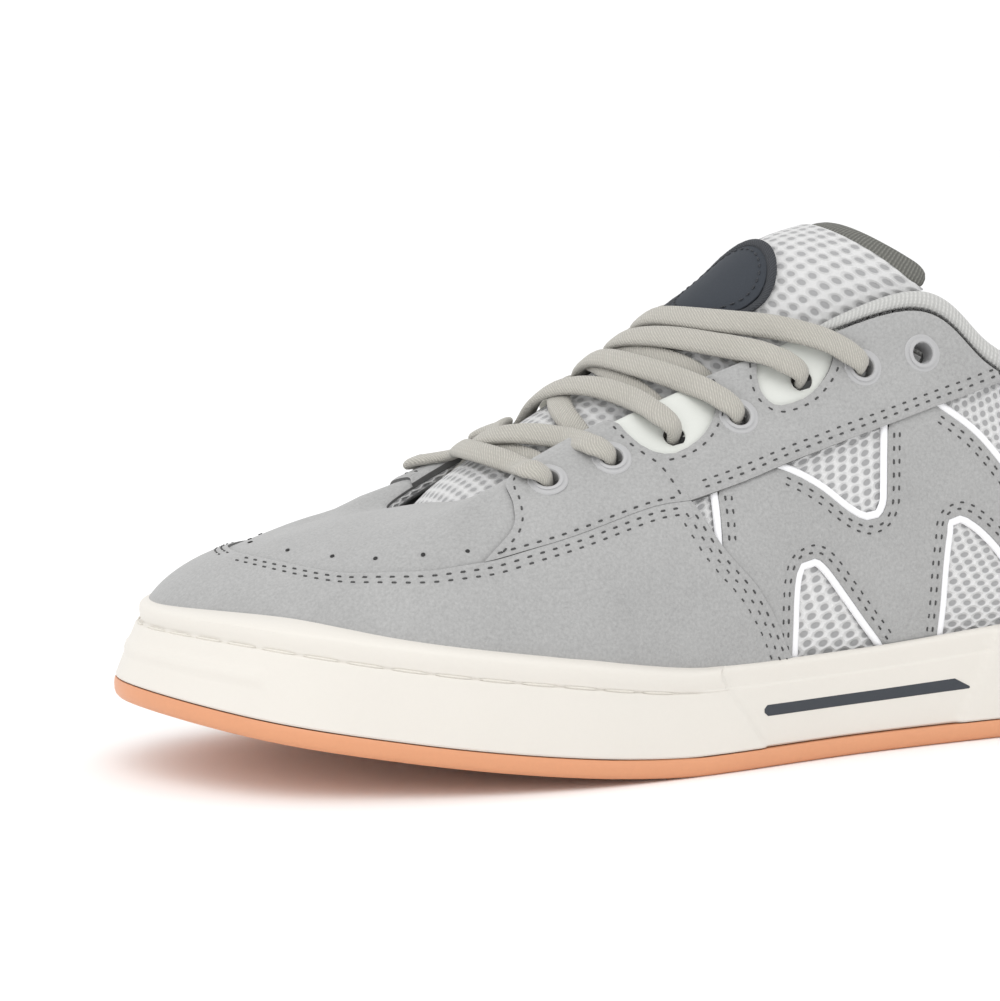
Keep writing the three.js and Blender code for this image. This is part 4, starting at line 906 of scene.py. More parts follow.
def sole_out(q, height):
    """How far the sole's side stands out: the front lip and groove, the cut-in waist, the heel."""
    heel = from_heel(q)
    slant = 0.38 * np.clip(1 - abs(heel - 4.79) / 0.8, 0, 1) - 0.3 * np.clip(1 - abs(heel - 3.25) / 0.8, 0, 1)
    at = heel - slant * (height - 0.5)
    front = ease((at - FRONT_STEP) / 0.04)
    waist = ease((at - WAIST_STEP) / 0.04) * (1 - front)
    below = -0.3 * np.clip(height / 0.72, 0, 1) ** 1.5
    lip = 0.35 * np.sin(np.clip((height - 0.77) / 0.23, 0, 1) * math.pi)
    groove_end = ease((at - 4.95) / 0.1)
    groove = -0.5 * np.exp(-((height - GROOVE) / 0.014) ** 2) * groove_end
    wall = np.where(height < GROOVE, below, -0.05) * ease(1 - (height - GROOVE) / 0.03 * (height > GROOVE))
    toe_bar = 0.45 * ease((0.085 - abs(height - 0.43)) / 0.035) * ease((1.05 - abs(heel - TOE)) / 0.06 + 0.35)
    return front * (wall + lip + groove + toe_bar) - waist


class SHOE_OT_sole(bpy.types.Operator):
    """Cupsole wall with its lip, groove and waist, and the groove's stitches"""
    bl_idname = "shoe.sole"
    bl_label = "Cupsole"

    def execute(self, context):
        q = np.linspace(0, STATIONS, 620, endpoint=False)
        heights = np.concatenate([[0, 0.02], np.linspace(0.06, 0.68, 15), np.linspace(0.70, 0.78, 9),
                                  np.linspace(0.80, 0.93, 5)])
        rings = []
        for h in heights:
            level = np.full_like(q, h)
            rings.append(sole_side(q, level, sole_out(q, level) - (0.3 if h == 0 else 0)))
        rim = rim_up(q)
        out = plan_out(q)
        out = np.concatenate([out, np.zeros((len(q), 1))], 1)
        top_in = shell(q, rim) + out * 0.15
        top_out = sole_side(q, np.full_like(q, 0.93), sole_out(q, np.full_like(q, 0.93)))
        crest = sole_side(q, np.ones_like(q), sole_out(q, np.ones_like(q)))
        for t in np.linspace(0.2, 1, 6):
            a = t * math.pi / 2
            flat = top_out[:, :2] + (top_in - top_out)[:, :2] * (1 - math.cos(a))
            z = top_out[:, 2] + (crest[:, 2] + 0.1 - top_out[:, 2]) * math.sin(a)
            rings.append(np.concatenate([flat, z[:, None]], 1))
        for drop, inset in ((0.6, 0.0), (4.0, 0.6)):
            rings.append(top_in - out * inset - np.array([0, 0, drop]))
        inner = plan(q) - plan_out(q) * 12
        low = spring(inner[:, 0])
        rings.append(np.concatenate([inner, (low + FLOOR_TOP)[:, None]], 1))
        rings.append(np.concatenate([inner, (low + SOLE_BOTTOM + 0.3)[:, None]], 1))
        made = loft("cupsole_wall", np.stack(rings, 1), around=True, angle=30)
        finish(made, [look("rubber")], "sole_rubber", "cupsole")
        rows = []
        for side in (1, -1):
            line = TOE - side * np.linspace(0, 4.0, 60)
            at = np.full_like(line, GROOVE)
            rows.append(sole_side(line, at, sole_out(line, at) + 0.15))
        points = []
        for row in rows:
            run = np.concatenate([[0], np.cumsum(np.linalg.norm(np.diff(row, axis=0), axis=1))])
            for start in np.arange(2, run[-1] - 9, 10):
                t = start + np.linspace(0, 8.2, 7)
                mid = np.stack([np.interp(t, run, row[:, k]) for k in range(3)], -1)
                ups = np.tile([0, 0, 1.0], (7, 1))
                points.append(sweep("stitch", mid, ups, oval(0.6, 0.6, 6, 1.0),
                                    scale=[0.3, 0.9, 1, 1, 1, 0.9, 0.3]))
        finish(joined("sole_stitches", points), [look("sole_thread")], "sole_rubber")
        return {"FINISHED"}


class SHOE_OT_stripes(bpy.types.Operator):
    """Dark stripes let into the waist of the sole, rounded in front and slanted behind"""
    bl_idname = "shoe.stripes"
    bl_label = "Side stripes"

    def execute(self, context):
        for name, turn in (("side_stripe_lateral", lambda q: q),
                           ("side_stripe_medial", lambda q: STATIONS - q)):
            t = np.linspace(0, 1, 60)
            rings = []
            for h, out in ((-1, -0.6), (-1, -0.05), (-0.85, 0.12), (0.85, 0.12), (1, -0.05), (1, -0.6)):
                q = 4.63 + (3.34 - 4.63) * t + 0.06 * h * t
                half = 0.07 * np.sqrt(np.clip(1 - np.clip(1 - t / 0.02, 0, 1) ** 2, 0.12, 1))
                height = 0.43 + half * h
                rings.append(sole_side(turn(q), height, np.full_like(t, out - 1.0)))
            made = loft(name + "_inlay", np.stack(rings, 1), angle=30)
            finish(made, [look("navy")], "navy", name)
        return {"FINISHED"}


class SHOE_OT_outsole(bpy.types.Operator):
    """Gum outsole with herringbone grooves under heel and forefoot"""
    bl_idname = "shoe.outsole"
    bl_label = "Outsole"

    def execute(self, context):
        q = np.linspace(0, STATIONS, 420, endpoint=False)
        rings = []
        for z, out in ((OUTSOLE, -0.15), (OUTSOLE - 0.3, 0.1), (3.0, 0.25), (1.6, 0.2), (0.7, -0.1),
                       (0.15, -0.7), (0, -1.5)):
            at = plan(q) + plan_out(q) * out
            base = plan(q) + plan_out(q) * min(out, 0)
            rings.append(np.concatenate([at, (spring(base[:, 0]) + z)[:, None]], 1))
        edge = rings[-1][:, :2]
        step = 1.5
        xs, ys = np.arange(-148, 150, step), np.arange(-56, 58, step)
        grid = np.stack(np.meshgrid(xs, ys, indexing="ij"), -1)
        grid[1::2, :, 1] += step / 2
        grid = grid.reshape(-1, 2)
        grid = grid[inside(grid, edge)]
        border = tree_of(np.concatenate([edge, np.zeros((len(edge), 1))], 1))
        far = distances(np.concatenate([grid, np.zeros((len(grid), 1))], 1), border)
        grid = grid[far > 1.1]
        made, faces = filled(np.vstack([edge, grid]), [len(edge)], 1.0)
        faces = faces[inside(made[faces].mean(1), edge)]
        flat = np.concatenate([made, np.zeros((len(made), 1))], 1)
        far = distances(flat, border)
        x, y = made.T
        zig = abs((y / 11) % 2 - 1) * 7
        wave = ((x + zig) / 7.0) % 1
        tread = np.clip((far - 8) / 1.5, 0, 1) * np.where(abs(x + 22) > 34, 1.0, 0.0)
        groove = 1.5 * ease((0.16 - abs(wave - 0.5)) / 0.09) * tread
        rail = 1.0 * np.exp(-((far - 6.5) / 0.9) ** 2)
        z = spring(x) + groove + rail
        bottom = from_faces("tread", np.concatenate([made, z[:, None]], 1), faces, angle=35)
        side = loft("outsole_side", np.stack(rings, 1), around=True, section=False, capped=False, angle=35)
        top = from_faces("top", rings[0], [tuple(range(len(q)))], angle=35)
        whole = joined("gum_outsole", [side, bottom, top])
        mend(whole, 2e-5)
        finish(tidy(whole, "gum_outsole", 35), [look("gum")], "gum", "outsole")
        return {"FINISHED"}


class SHOE_OT_insole(bpy.types.Operator):
    """Insole with a raised edge, seen through the collar"""
    bl_idname = "shoe.insole"
    bl_label = "Insole"

    def execute(self, context):
        q = np.linspace(0, STATIONS, 260, endpoint=False)
        v = up_at(q, FOOT + 4)
        edge = shell(q, v) - normal(q, v) * 4.6
        axis = np.stack([np.clip(edge[:, 0], -105, 95), np.where(edge[:, 0] > 40, -2.0, 0.0)], -1)
        rings = []
        for t, z in ((0.0, FOOT + 0.2), (0.0, FOOT + 4.6), (0.05, FOOT + 5.2), (0.2, FOOT + 4.2),
                     (0.5, FOOT + 3.7),
                     (0.8, FOOT + 3.5), (0.995, FOOT + 3.5)):
            at = edge[:, :2] + (axis - edge[:, :2]) * t
            rings.append(np.concatenate([at, (spring(at[:, 0]) + z)[:, None]], 1))
        made = loft("footbed", np.stack(rings, 1), around=True, section=False, capped=False)
        mend(made, fill=True)
        finish(made, [look("lining")], "lining", "insole")
        return {"FINISHED"}


class SHOE_OT_upper(bpy.types.Operator):
    """Mesh upper with its padded lining: one wall round the foot, open at the top and below"""
    bl_idname = "shoe.upper"
    bl_label = "Upper"

    def execute(self, context):
        q = np.linspace(0, STATIONS, 470, endpoint=False)
        top = edge_up(q)
        levels = np.linspace(0, 1, 46)
        rings = [on(q, top * t, BASE_DEPTH) for t in levels]
        for a in (0.3, 0.5, 0.7):
            lift = 0.8 * math.sin(a * math.pi)
            up = unit(shell(q, top) - shell(q, top - 0.01))
            rings.append(on(q, top, BASE_DEPTH + wall_depth(q, top) * a) + up * lift)
        rings += [on(q, top * t, BASE_DEPTH + wall_depth(q, top * t)) for t in levels[::-1][::2]]
        rings = np.stack(rings, 1)
        steps = np.linalg.norm(np.diff(on(np.append(q, STATIONS), 0.5, 0), axis=0), axis=1)
        run = np.concatenate([[0], np.cumsum(steps)])
        made = loft("mesh_upper", rings, around=True, along_uv=np.append(run, run[-1]), angle=50)
        centres = [Vector(on(a, v, BASE_DEPTH + 1.2) * MM) for hq, v, _ in HOLES for a in (hq, STATIONS - hq)]
        only(made)
        bm = bmesh.new()
        bm.from_mesh(made.data)
        reach = 3.8 * MM
        cut = [f for f in bm.faces if any((f.calc_center_median() - c).length < reach for c in centres)]
        bmesh.ops.delete(bm, geom=cut, context="FACES")
        bm.to_mesh(made.data)
        bm.free()
        finish(made, [look("mesh"), look("lining")], "mesh", "upper")
        me = made.data
        split = wall_depth(9.0, 0.0) / 2 + BASE_DEPTH
        points = np.array([tuple(p.center) for p in me.polygons]) / MM
        q_near, v_near = np.meshgrid(np.linspace(0, STATIONS, 240), np.linspace(0, 1, 24), indexing="ij")
        tree = tree_of(on(q_near, v_near, 0).reshape(-1, 3))
        out = normal(q_near, v_near).reshape(-1, 3)
        base = on(q_near, v_near, 0).reshape(-1, 3)
        for polygon, p in zip(me.polygons, points):
            i = tree.find(p)[1]
            polygon.material_index = 1 if (base[i] - p) @ out[i] > split else 0
        return {"FINISHED"}


def throat(q):
    return np.full_like(q, 0.998)


def sole_line(q):
    """Where the overlays end behind the rim of the sole."""
    return rim_up(q, 2.0)


def rows_beside(line, offsets, outline, trim=1):
    """Rows of stitches beside an edge, on the side that lies in the piece."""
    found = []
    for by in offsets:
        for way in (by, -by):
            beside = moved(line, way)[trim:len(line) - trim]
            middle = len(beside) // 2
            if inside(beside[middle:middle + 1], outline)[0]:
                beside = beside[inside(beside, outline)]
                if len(beside) > 3:
                    found.append(beside)
                break
    return found


def sunk(rows, layer):
    """Rows with the depth at which their stitches show."""
    return [(row, LAYERS[layer] - 0.08) for row in rows]


class SHOE_OT_overlays(bpy.types.Operator):
    """Suede toe piece, mudguard, eyestays, zigzag side panels and heel counter, each cut to its outline"""
    bl_idname = "shoe.overlays"
    bl_label = "Suede overlays"

    def execute(self, context):
        rows = self.toe() + self.counter()
        for name, turn in (("lateral", np.array), ("medial", flip)):
            rows += self.eyestays(name, turn)
            rows += self.side_panel(name, turn)
            self.tabs(name, turn)
        sizes = context.scene.shoe_sizes
        made = stitches("upper_stitches", rows, sizes.stitch_pitch, sizes.stitch_length)
        finish(made, [look("thread")], "suede")
        return {"FINISHED"}

    def suede(self, name, node, outline, rows, layer, holes=()):
        made = panel(name, outline, rows, LAYERS[layer], holes=holes)
        # The second material paints shade on the cut edges of the suede.
        return finish(made, [look("suede"), look("suede_edge_painted_shade")], "suede", node)

    def toe(self):
        corner = 4.43
        rear = np.vstack([[(corner, float(sole_line(np.array([corner]))[0]))], MUD_SEAM[1:]])
        mud, seam = smooth(rear), smooth(TOE_SEAM)
        half = np.vstack([mud[:-1], seam])
        outline = chain(half, flip(half)[::-1], level_line(STATIONS - corner, corner, sole_line))
        rows = rows_beside(seam, (1.6, 3.2), outline) + rows_beside(mud, (1.6, 3.4, 5.4), outline)
        rows += [flip(row) for row in rows]
        self.suede("suede_mudguard", "mudguard", outline, rows, "mudguard")
        side, under = smooth(TOE_SIDE_SEAM), smooth(TOE_SEAM[3:])
        tuck, overlap = np.array([0, 0.012]), np.array([0.06, 0])
        under = under - tuck
        outline = chain(side[::-1] - overlap, under, flip(under)[::-1], flip(side) + overlap,
                        level_line(STATIONS - side[-1][0], side[-1][0], throat))
        self.suede("suede_toe_piece", "vamp", outline, (), "toe")
        return sunk(rows, "mudguard")

    def counter(self):
        front, shoulder = smooth(COUNTER_SEAM), 2.45
        height = float(edge_up(shoulder)) - 0.004
        top = smooth([COUNTER_SEAM[-1], (2.72, 0.925), (shoulder, height)])
        back = np.array([-1, 1])
        outline = chain(front, top, level_line(shoulder, -shoulder, lambda q: edge_up(q) - 0.004),
                        (top * back)[::-1], (front * back)[::-1], level_line(-2.02, 2.02, sole_line))
        rows = rows_beside(front, (1.8, 3.6), outline)
        rows += [row * back for row in rows]
        self.suede("suede_heel_counter", "heel_counter", outline, rows, "counter")
        return sunk(rows, "counter")

    def eyestays(self, name, turn):
        """Front and rear eyestay of one side. turn takes a line of the outer side to this side."""
        joint, toe_side, foot = smooth(EYESTAY_JOINT), smooth(TOE_SIDE_SEAM), smooth(TOE_SEAM[:4])
        tab_1, tab_2, bottom = smooth(TAB_1), smooth(TAB_2), smooth(EYESTAY_SEAM)
        split = TAB_1[-1][0]
        holes = [(*turn([(q, v)])[0], 3.7, q) for q, v, tab in HOLES if not tab]
        front = chain(foot[::-1], joint, level_line(joint[-1][0], toe_side[-1][0], throat), toe_side[::-1])
        lower = joint[joint[:, 1] <= TAB_1[0][1]]
        rear = chain(lower, tab_1, level_line(split, TAB_2[0][0], throat), tab_2,
                     level_line(TAB_2[-1][0], EYESTAY_SEAM[-1][0], lambda q: edge_up(q) - 0.002),
                     bottom[::-1])
        made = []
        for part, outline, edges in (
                ("front", front, ((toe_side, (1.7,)), (joint, (1.7,)), (foot, (1.1,)))),
                ("rear", rear, ((bottom, (1.8, 3.5)), (tab_1[3:], (1.7,)), (tab_2, (1.7,))))):
            rows = [turn(row) for line, offsets in edges for row in rows_beside(line, offsets, outline)]
            here = [hole[:3] for hole in holes if (hole[3] > split) == (part == "front")]
            self.suede(f"suede_eyestay_{part}_{name}", f"eyestay_{part}_{name}", turn(outline), rows,
                       "eyestay", here)
            made += rows
        return sunk(made, "eyestay")

    def side_panel(self, name, turn):
        """Zigzag panel of one side with its rows and the white piping of its windows."""
        bottom = smooth(EYESTAY_SEAM)[::-1]
        windows = [smooth(line) for line in (WINDOW_0, WINDOW_1, WINDOW_2, WINDOW_3, PANEL_REAR)]
        w0, w1, w2, w3, back = (line[line[:, 1] > sole_line(line[:, 0])] for line in windows)
        ahead = smooth(MUD_SEAM)
        ahead = ahead[(ahead[:, 1] < 0.402) & (ahead[:, 1] > sole_line(ahead[:, 0]))] + [0.05, 0]

        def under_eyestay(q):
            return np.interp(q, *bottom.T) + 0.012

        outline = chain(ahead, w0, level_line(w0[-1][0], w1[0][0], under_eyestay), w1,
                        level_line(w1[-1][0], back[0][0], under_eyestay), back,
                        level_line(back[-1][0], w3[-1][0], sole_line), w3[::-1],
                        level_line(w3[0][0], w2[-1][0], sole_line), w2[::-1],
                        level_line(w2[0][0], ahead[0][0], sole_line))
        edges = (w0, w1, w2, w3, back)
        rows = [turn(row) for line in edges for row in rows_beside(line, (1.6, 3.2), outline)]
        self.suede(f"suede_side_panel_{name}", f"side_panel_{name}", turn(outline), rows, "panel")
        pipes = []
        for line in edges:
            for way in (0.9, -0.9):
                beside = moved(line, way)
                middle = len(beside) // 2
                if not inside(beside[middle:middle + 1], outline)[0]:
                    beside = turn(beside)
                    centres = on(beside[:, 0], beside[:, 1], 0.95)
                    width = bpy.context.scene.shoe_sizes.piping_width
                    pipes.append(sweep("pipe", centres, normal(*beside.T), oval(width, 1.1, 10, 0.9)))
                    break
        finish(joined(f"white_piping_{name}", pipes), [look("piping")], "sole_rubber")
        return sunk(rows, "panel")

    def tabs(self, name, turn):
        """Smooth tabs under the suede round the third and the fifth hole."""
        joint = smooth(EYESTAY_JOINT)
        for number, line in enumerate((TAB_1, TAB_2), 1):
            q, v, _ = HOLES[2 * number]
            grown = smooth(line)
            away = grown - (q, v)
            grown = grown + np.sign(away) * (abs(away) > 0.02) * [0.07, 0.016]
            grown[:, 1] = np.minimum(grown[:, 1], 1.0)
            last = grown[0][0] if number == 2 else joint[-1][0] + 0.05
            lines = [grown, level_line(grown[-1][0], last, np.ones_like)]
            if number == 1:
                lines.append((joint[joint[:, 1] > line[0][1]] + [0.05, 0])[::-1])
            made = panel(f"smooth_tab_{name}_{number}", turn(chain(*lines)), (), LAYERS["tab"], 1.45, 0.3,
                         holes=[(*turn([(q, v)])[0], 2.7)], puff=0.15)
            finish(made, [look("tab"), look("tab")], "tab", f"lace_tab_{name}_{number}")


class SHOE_OT_collar(bpy.types.Operator):
    """Ribbed knit roll round the topline and the seam that holds it"""
    bl_idname = "shoe.collar"
    bl_label = "Collar"

    def execute(self, context):
        reach = 5.62
        q = np.linspace(reach, -reach, 620)
        pad = BASE_DEPTH + wall_depth(q, np.ones_like(q))
        end = np.clip((reach - abs(q)) / 0.16, 0, 1)
        size = 0.25 + 0.75 * np.sqrt(1 - (1 - end) ** 2)
        thin = 0.72 + 0.28 * ease((5.5 - abs(q)) / 1.2)
        top = shell(q, np.ones_like(q))
        out = normal(q, np.ones_like(q))
        up = unit(top - shell(q, np.full_like(q, 0.99)))
        rings = []
        for k in range(22):
            a = k * 2 * math.pi / 22
            x = math.copysign(abs(math.cos(a)) ** 0.8, math.cos(a))
            y = math.copysign(abs(math.sin(a)) ** 0.85, math.sin(a))
            wide = (pad + 1.0) / 2
            middle = (0.6 - pad) / 2
            rise = COLLAR_RISE * (0.83 if y > 0 else 0.7) * y * thin - 1.1
            rings.append(top + out * (middle + wide * x * size)[:, None] + up * (rise * size)[:, None])
        made = loft("knit_collar", np.stack(rings, 1), angle=60)
        finish(made, [look("knit")], "knit", "collar")
        line = level_line(5.5, -5.5, lambda s: edge_up(s) + 0.004)
        finish(stitches("collar_seam", [(line, -0.35)], 1.7, 1.0, 0.5), [look("thread")], "knit")
        return {"FINISHED"}


class SHOE_OT_tongue(bpy.types.Operator):
    """Padded mesh tongue, the webbing along its top edge and its plain round patch"""
    bl_idname = "shoe.tongue"
    bl_label = "Tongue"

    def execute(self, context):
        s = np.linspace(0, TONGUE_END + 0.1, 90)
        u = np.linspace(1, -1, 56)
        rings = []
        for at in s:
            pad = column(TONGUE[5], at, False) * TONGUE_PAD * (1 - 0.5 * u * u)
            round_off = np.clip((at - s[-1] + 0.2) / 0.2, 0, 1)
            rounding = 1 - math.sqrt(1 - round_off ** 2)
            outer = on_tongue(at, u, pad * 0.3 * rounding)
            inner = on_tongue(at, u, pad * (1 - 0.45 * rounding))
            rings.append(np.vstack([outer, inner[::-1]]))
        rings = np.array(rings)
        made = loft("mesh_tongue", rings, angle=60)
        finish(made, [look("tongue_mesh")], "mesh", "tongue")
        across = np.linspace(0.93, -0.93, 90)
        line = on_tongue(TONGUE_END, across, 1.9) + np.array([-3.0, 0, 0.2])
        profile = oval(6.8, 3.2, 16, 0.8)
        back = np.tile([-0.25, 0, 1.0], (len(line), 1))
        outward = tongue_normal(np.full_like(across, TONGUE_END), across)
        size = 0.35 + 0.65 * np.sqrt(1 - np.clip((abs(across) - 0.8) / 0.13, 0, 1) ** 2)
        made = sweep("webbing_edge", line, outward + back * 0.4, profile, scale=size)
        finish(made, [look("webbing")], "webbing", "tongue_webbing")
        self.patch()
        return {"FINISHED"}

    def patch(self):
        centre_s, centre_u = 6.13, 0.08
        z = tongue_normal(centre_s, centre_u)
        y = unit(np.array([0, 1.0, 0]) - z * z[1])
        x = np.cross(y, z)
        origin = tongue_face(centre_s, centre_u)
        ss, uu = np.meshgrid(np.linspace(4.6, 7.9, 130), np.linspace(-0.9, 0.95, 110), indexing="ij")
        face = tongue_face(ss, uu).reshape(-1, 3)
        out = tongue_normal(ss, uu).reshape(-1, 3)
        flat = np.stack([(face - origin) @ x, (face - origin) @ y, np.zeros(len(face))], -1)
        tree = tree_of(flat)

        def drop(px, py, height):
            near = tree.find_n((px, py, 0), 4)
            weight = np.array([1 / (d + 0.05) for _, _, d in near])
            weight /= weight.sum()
            ids = [i for _, i, _ in near]
            p = (face[ids] * weight[:, None]).sum(0)
            n = unit((out[ids] * weight[:, None]).sum(0))
            off = np.array([px, py]) - (flat[ids][:, :2] * weight[:, None]).sum(0)
            return p + x * off[0] + y * off[1] + n * height

        turn = np.arange(96) * 2 * math.pi / 96
        rings = []
        for r, h in ((0.3, 1.05), (3, 1.05), (6, 1.05), (9, 1.05), (11.5, 1.0), (12.6, 0.85), (13.0, 0.8),
                     (13.4, 0.2)):
            rings.append([drop(r * math.cos(a), r * math.sin(a), h) for a in turn])
        rings = np.array(rings)
        made = loft("round_patch", np.transpose(rings, (1, 0, 2)), around=True, section=False, capped=False)
        mend(made, fill=True)
        finish(made, [look("patch")], "navy", "tongue_patch")
        line = np.array([drop(14.2 * math.cos(a), 14.2 * math.sin(a), 0.75) for a in turn])
        ups = np.tile(z, (len(line), 1))
        made = sweep("patch_border", line, ups, oval(2.7, 1.6, 10, 0.9), closed=True)
        finish(made, [look("patch_thread")], "navy")
        inner = np.array([drop(11.4 * math.cos(a), 11.4 * math.sin(a), 1.15) for a in turn])
        dashes = []
        for k in range(0, 96, 3):
            pts = inner[[k, (k + 1) % 96]]
            mid = np.linspace(0, 1, 4)[:, None] * (pts[1] - pts[0]) * 1.7 + pts[0]
            dashes.append(sweep("dash", mid, np.tile(z, (4, 1)), oval(0.55, 0.4, 6, 1.0),
                                scale=[0.4, 1, 1, 0.4]))
        finish(joined("patch_stitches", dashes), [look("patch_thread")], "navy")


class SHOE_OT_eyelets(bpy.types.Operator):
    """Eyelets: one turned ring, copied to each hole"""
    bl_idname = "shoe.eyelets"
    bl_label = "Eyelets"

    def execute(self, context):
        hole, barrel, rim = EYELET_HOLE / 2, EYELET_HOLE / 2 + EYELET_BARREL, EYELET / 2
        profile = [(hole, -4.2), (barrel, -4.2), (barrel, 0.35), (rim, 0.35), (rim + 0.05, 0.6),
                   (rim - 0.25, 0.85),
                   (rim - 0.9, 0.85), (rim - 1.15, 0.98), (barrel + 0.35, 1.25), (barrel - 0.1, 1.38),
                   (hole + 0.25, 1.3),
                   (hole, 1.0)]
        turn = np.arange(40) * 2 * math.pi / 40
        for name, mirror_q in (("lateral", False), ("medial", True)):
            for number, (q, v, tab) in enumerate(HOLES, 1):
                if tab:
                    continue
                at = STATIONS - q if mirror_q else q
                z = normal(at, v)
                x = unit(np.array([1.0, 0, 0]) - z * z[0])
                y = np.cross(z, x)
                base = shell(at, v)
                rays = [x * math.cos(a) + y * math.sin(a) for a in turn]
                rings = np.array([[base + ray * r + z * h for r, h in profile] for ray in rays])
                made = loft(f"ring_{name}_{number}", rings, around=True, section=True, angle=30)
                finish(made, [look("eyelet")], "eyelet", f"eyelet_{name}_{number}")
        return {"FINISHED"}


# The front bar of the lace, from its hole to the middle of the tongue, and each crossing behind it:
# places on the shell past the hole, on the tongue up to its middle, where it crosses, on the tongue
# past the middle, and where it dips under the other edge
LACE_BAR = ([(6.98, 0.73), (7.18, 0.80)], [(2.70, 0.64), (2.58, 0.42)], 2.46)
CROSSINGS = [
    ([(6.60, 0.735), (6.76, 0.81)], [(3.33, 0.62), (3.15, 0.45), (2.93, 0.24)], 2.70,
     [(2.68, 0.19), (2.88, 0.53)], 7.38),
    ([(6.34, 0.81), (6.50, 0.90)], [(4.18, 0.64), (4.08, 0.48), (3.95, 0.28)], 3.72,
     [(3.53, 0.26), (3.50, 0.54)], 7.02),
    ([(5.90, 0.775), (6.08, 0.86)], [(4.70, 0.70), (4.58, 0.55), (4.43, 0.35)], 4.33,
     [(4.25, 0.39), (4.33, 0.73)], 6.50),
    ([(5.66, 0.87), (5.82, 0.95)], [(5.40, 0.71), (5.17, 0.54), (4.92, 0.30)], 4.68,
     [(4.66, 0.14), (4.75, 0.41), (4.95, 0.76)], 6.20),
    ([(5.30, 0.84), (5.47, 0.91)], [(5.98, 0.76), (5.65, 0.58), (5.35, 0.35)], 5.13,
     [(5.08, 0.15), (5.22, 0.45), (5.55, 0.78)], 5.88),
]
LACE_THICKNESS = 2.6
RELAX_ROUNDS = 50
# Heights of the lace's middle over the tongue: lying on it, and lying over another lace
LOW, HIGH, OVER_SUEDE = 1.6, 3.9, 3.4


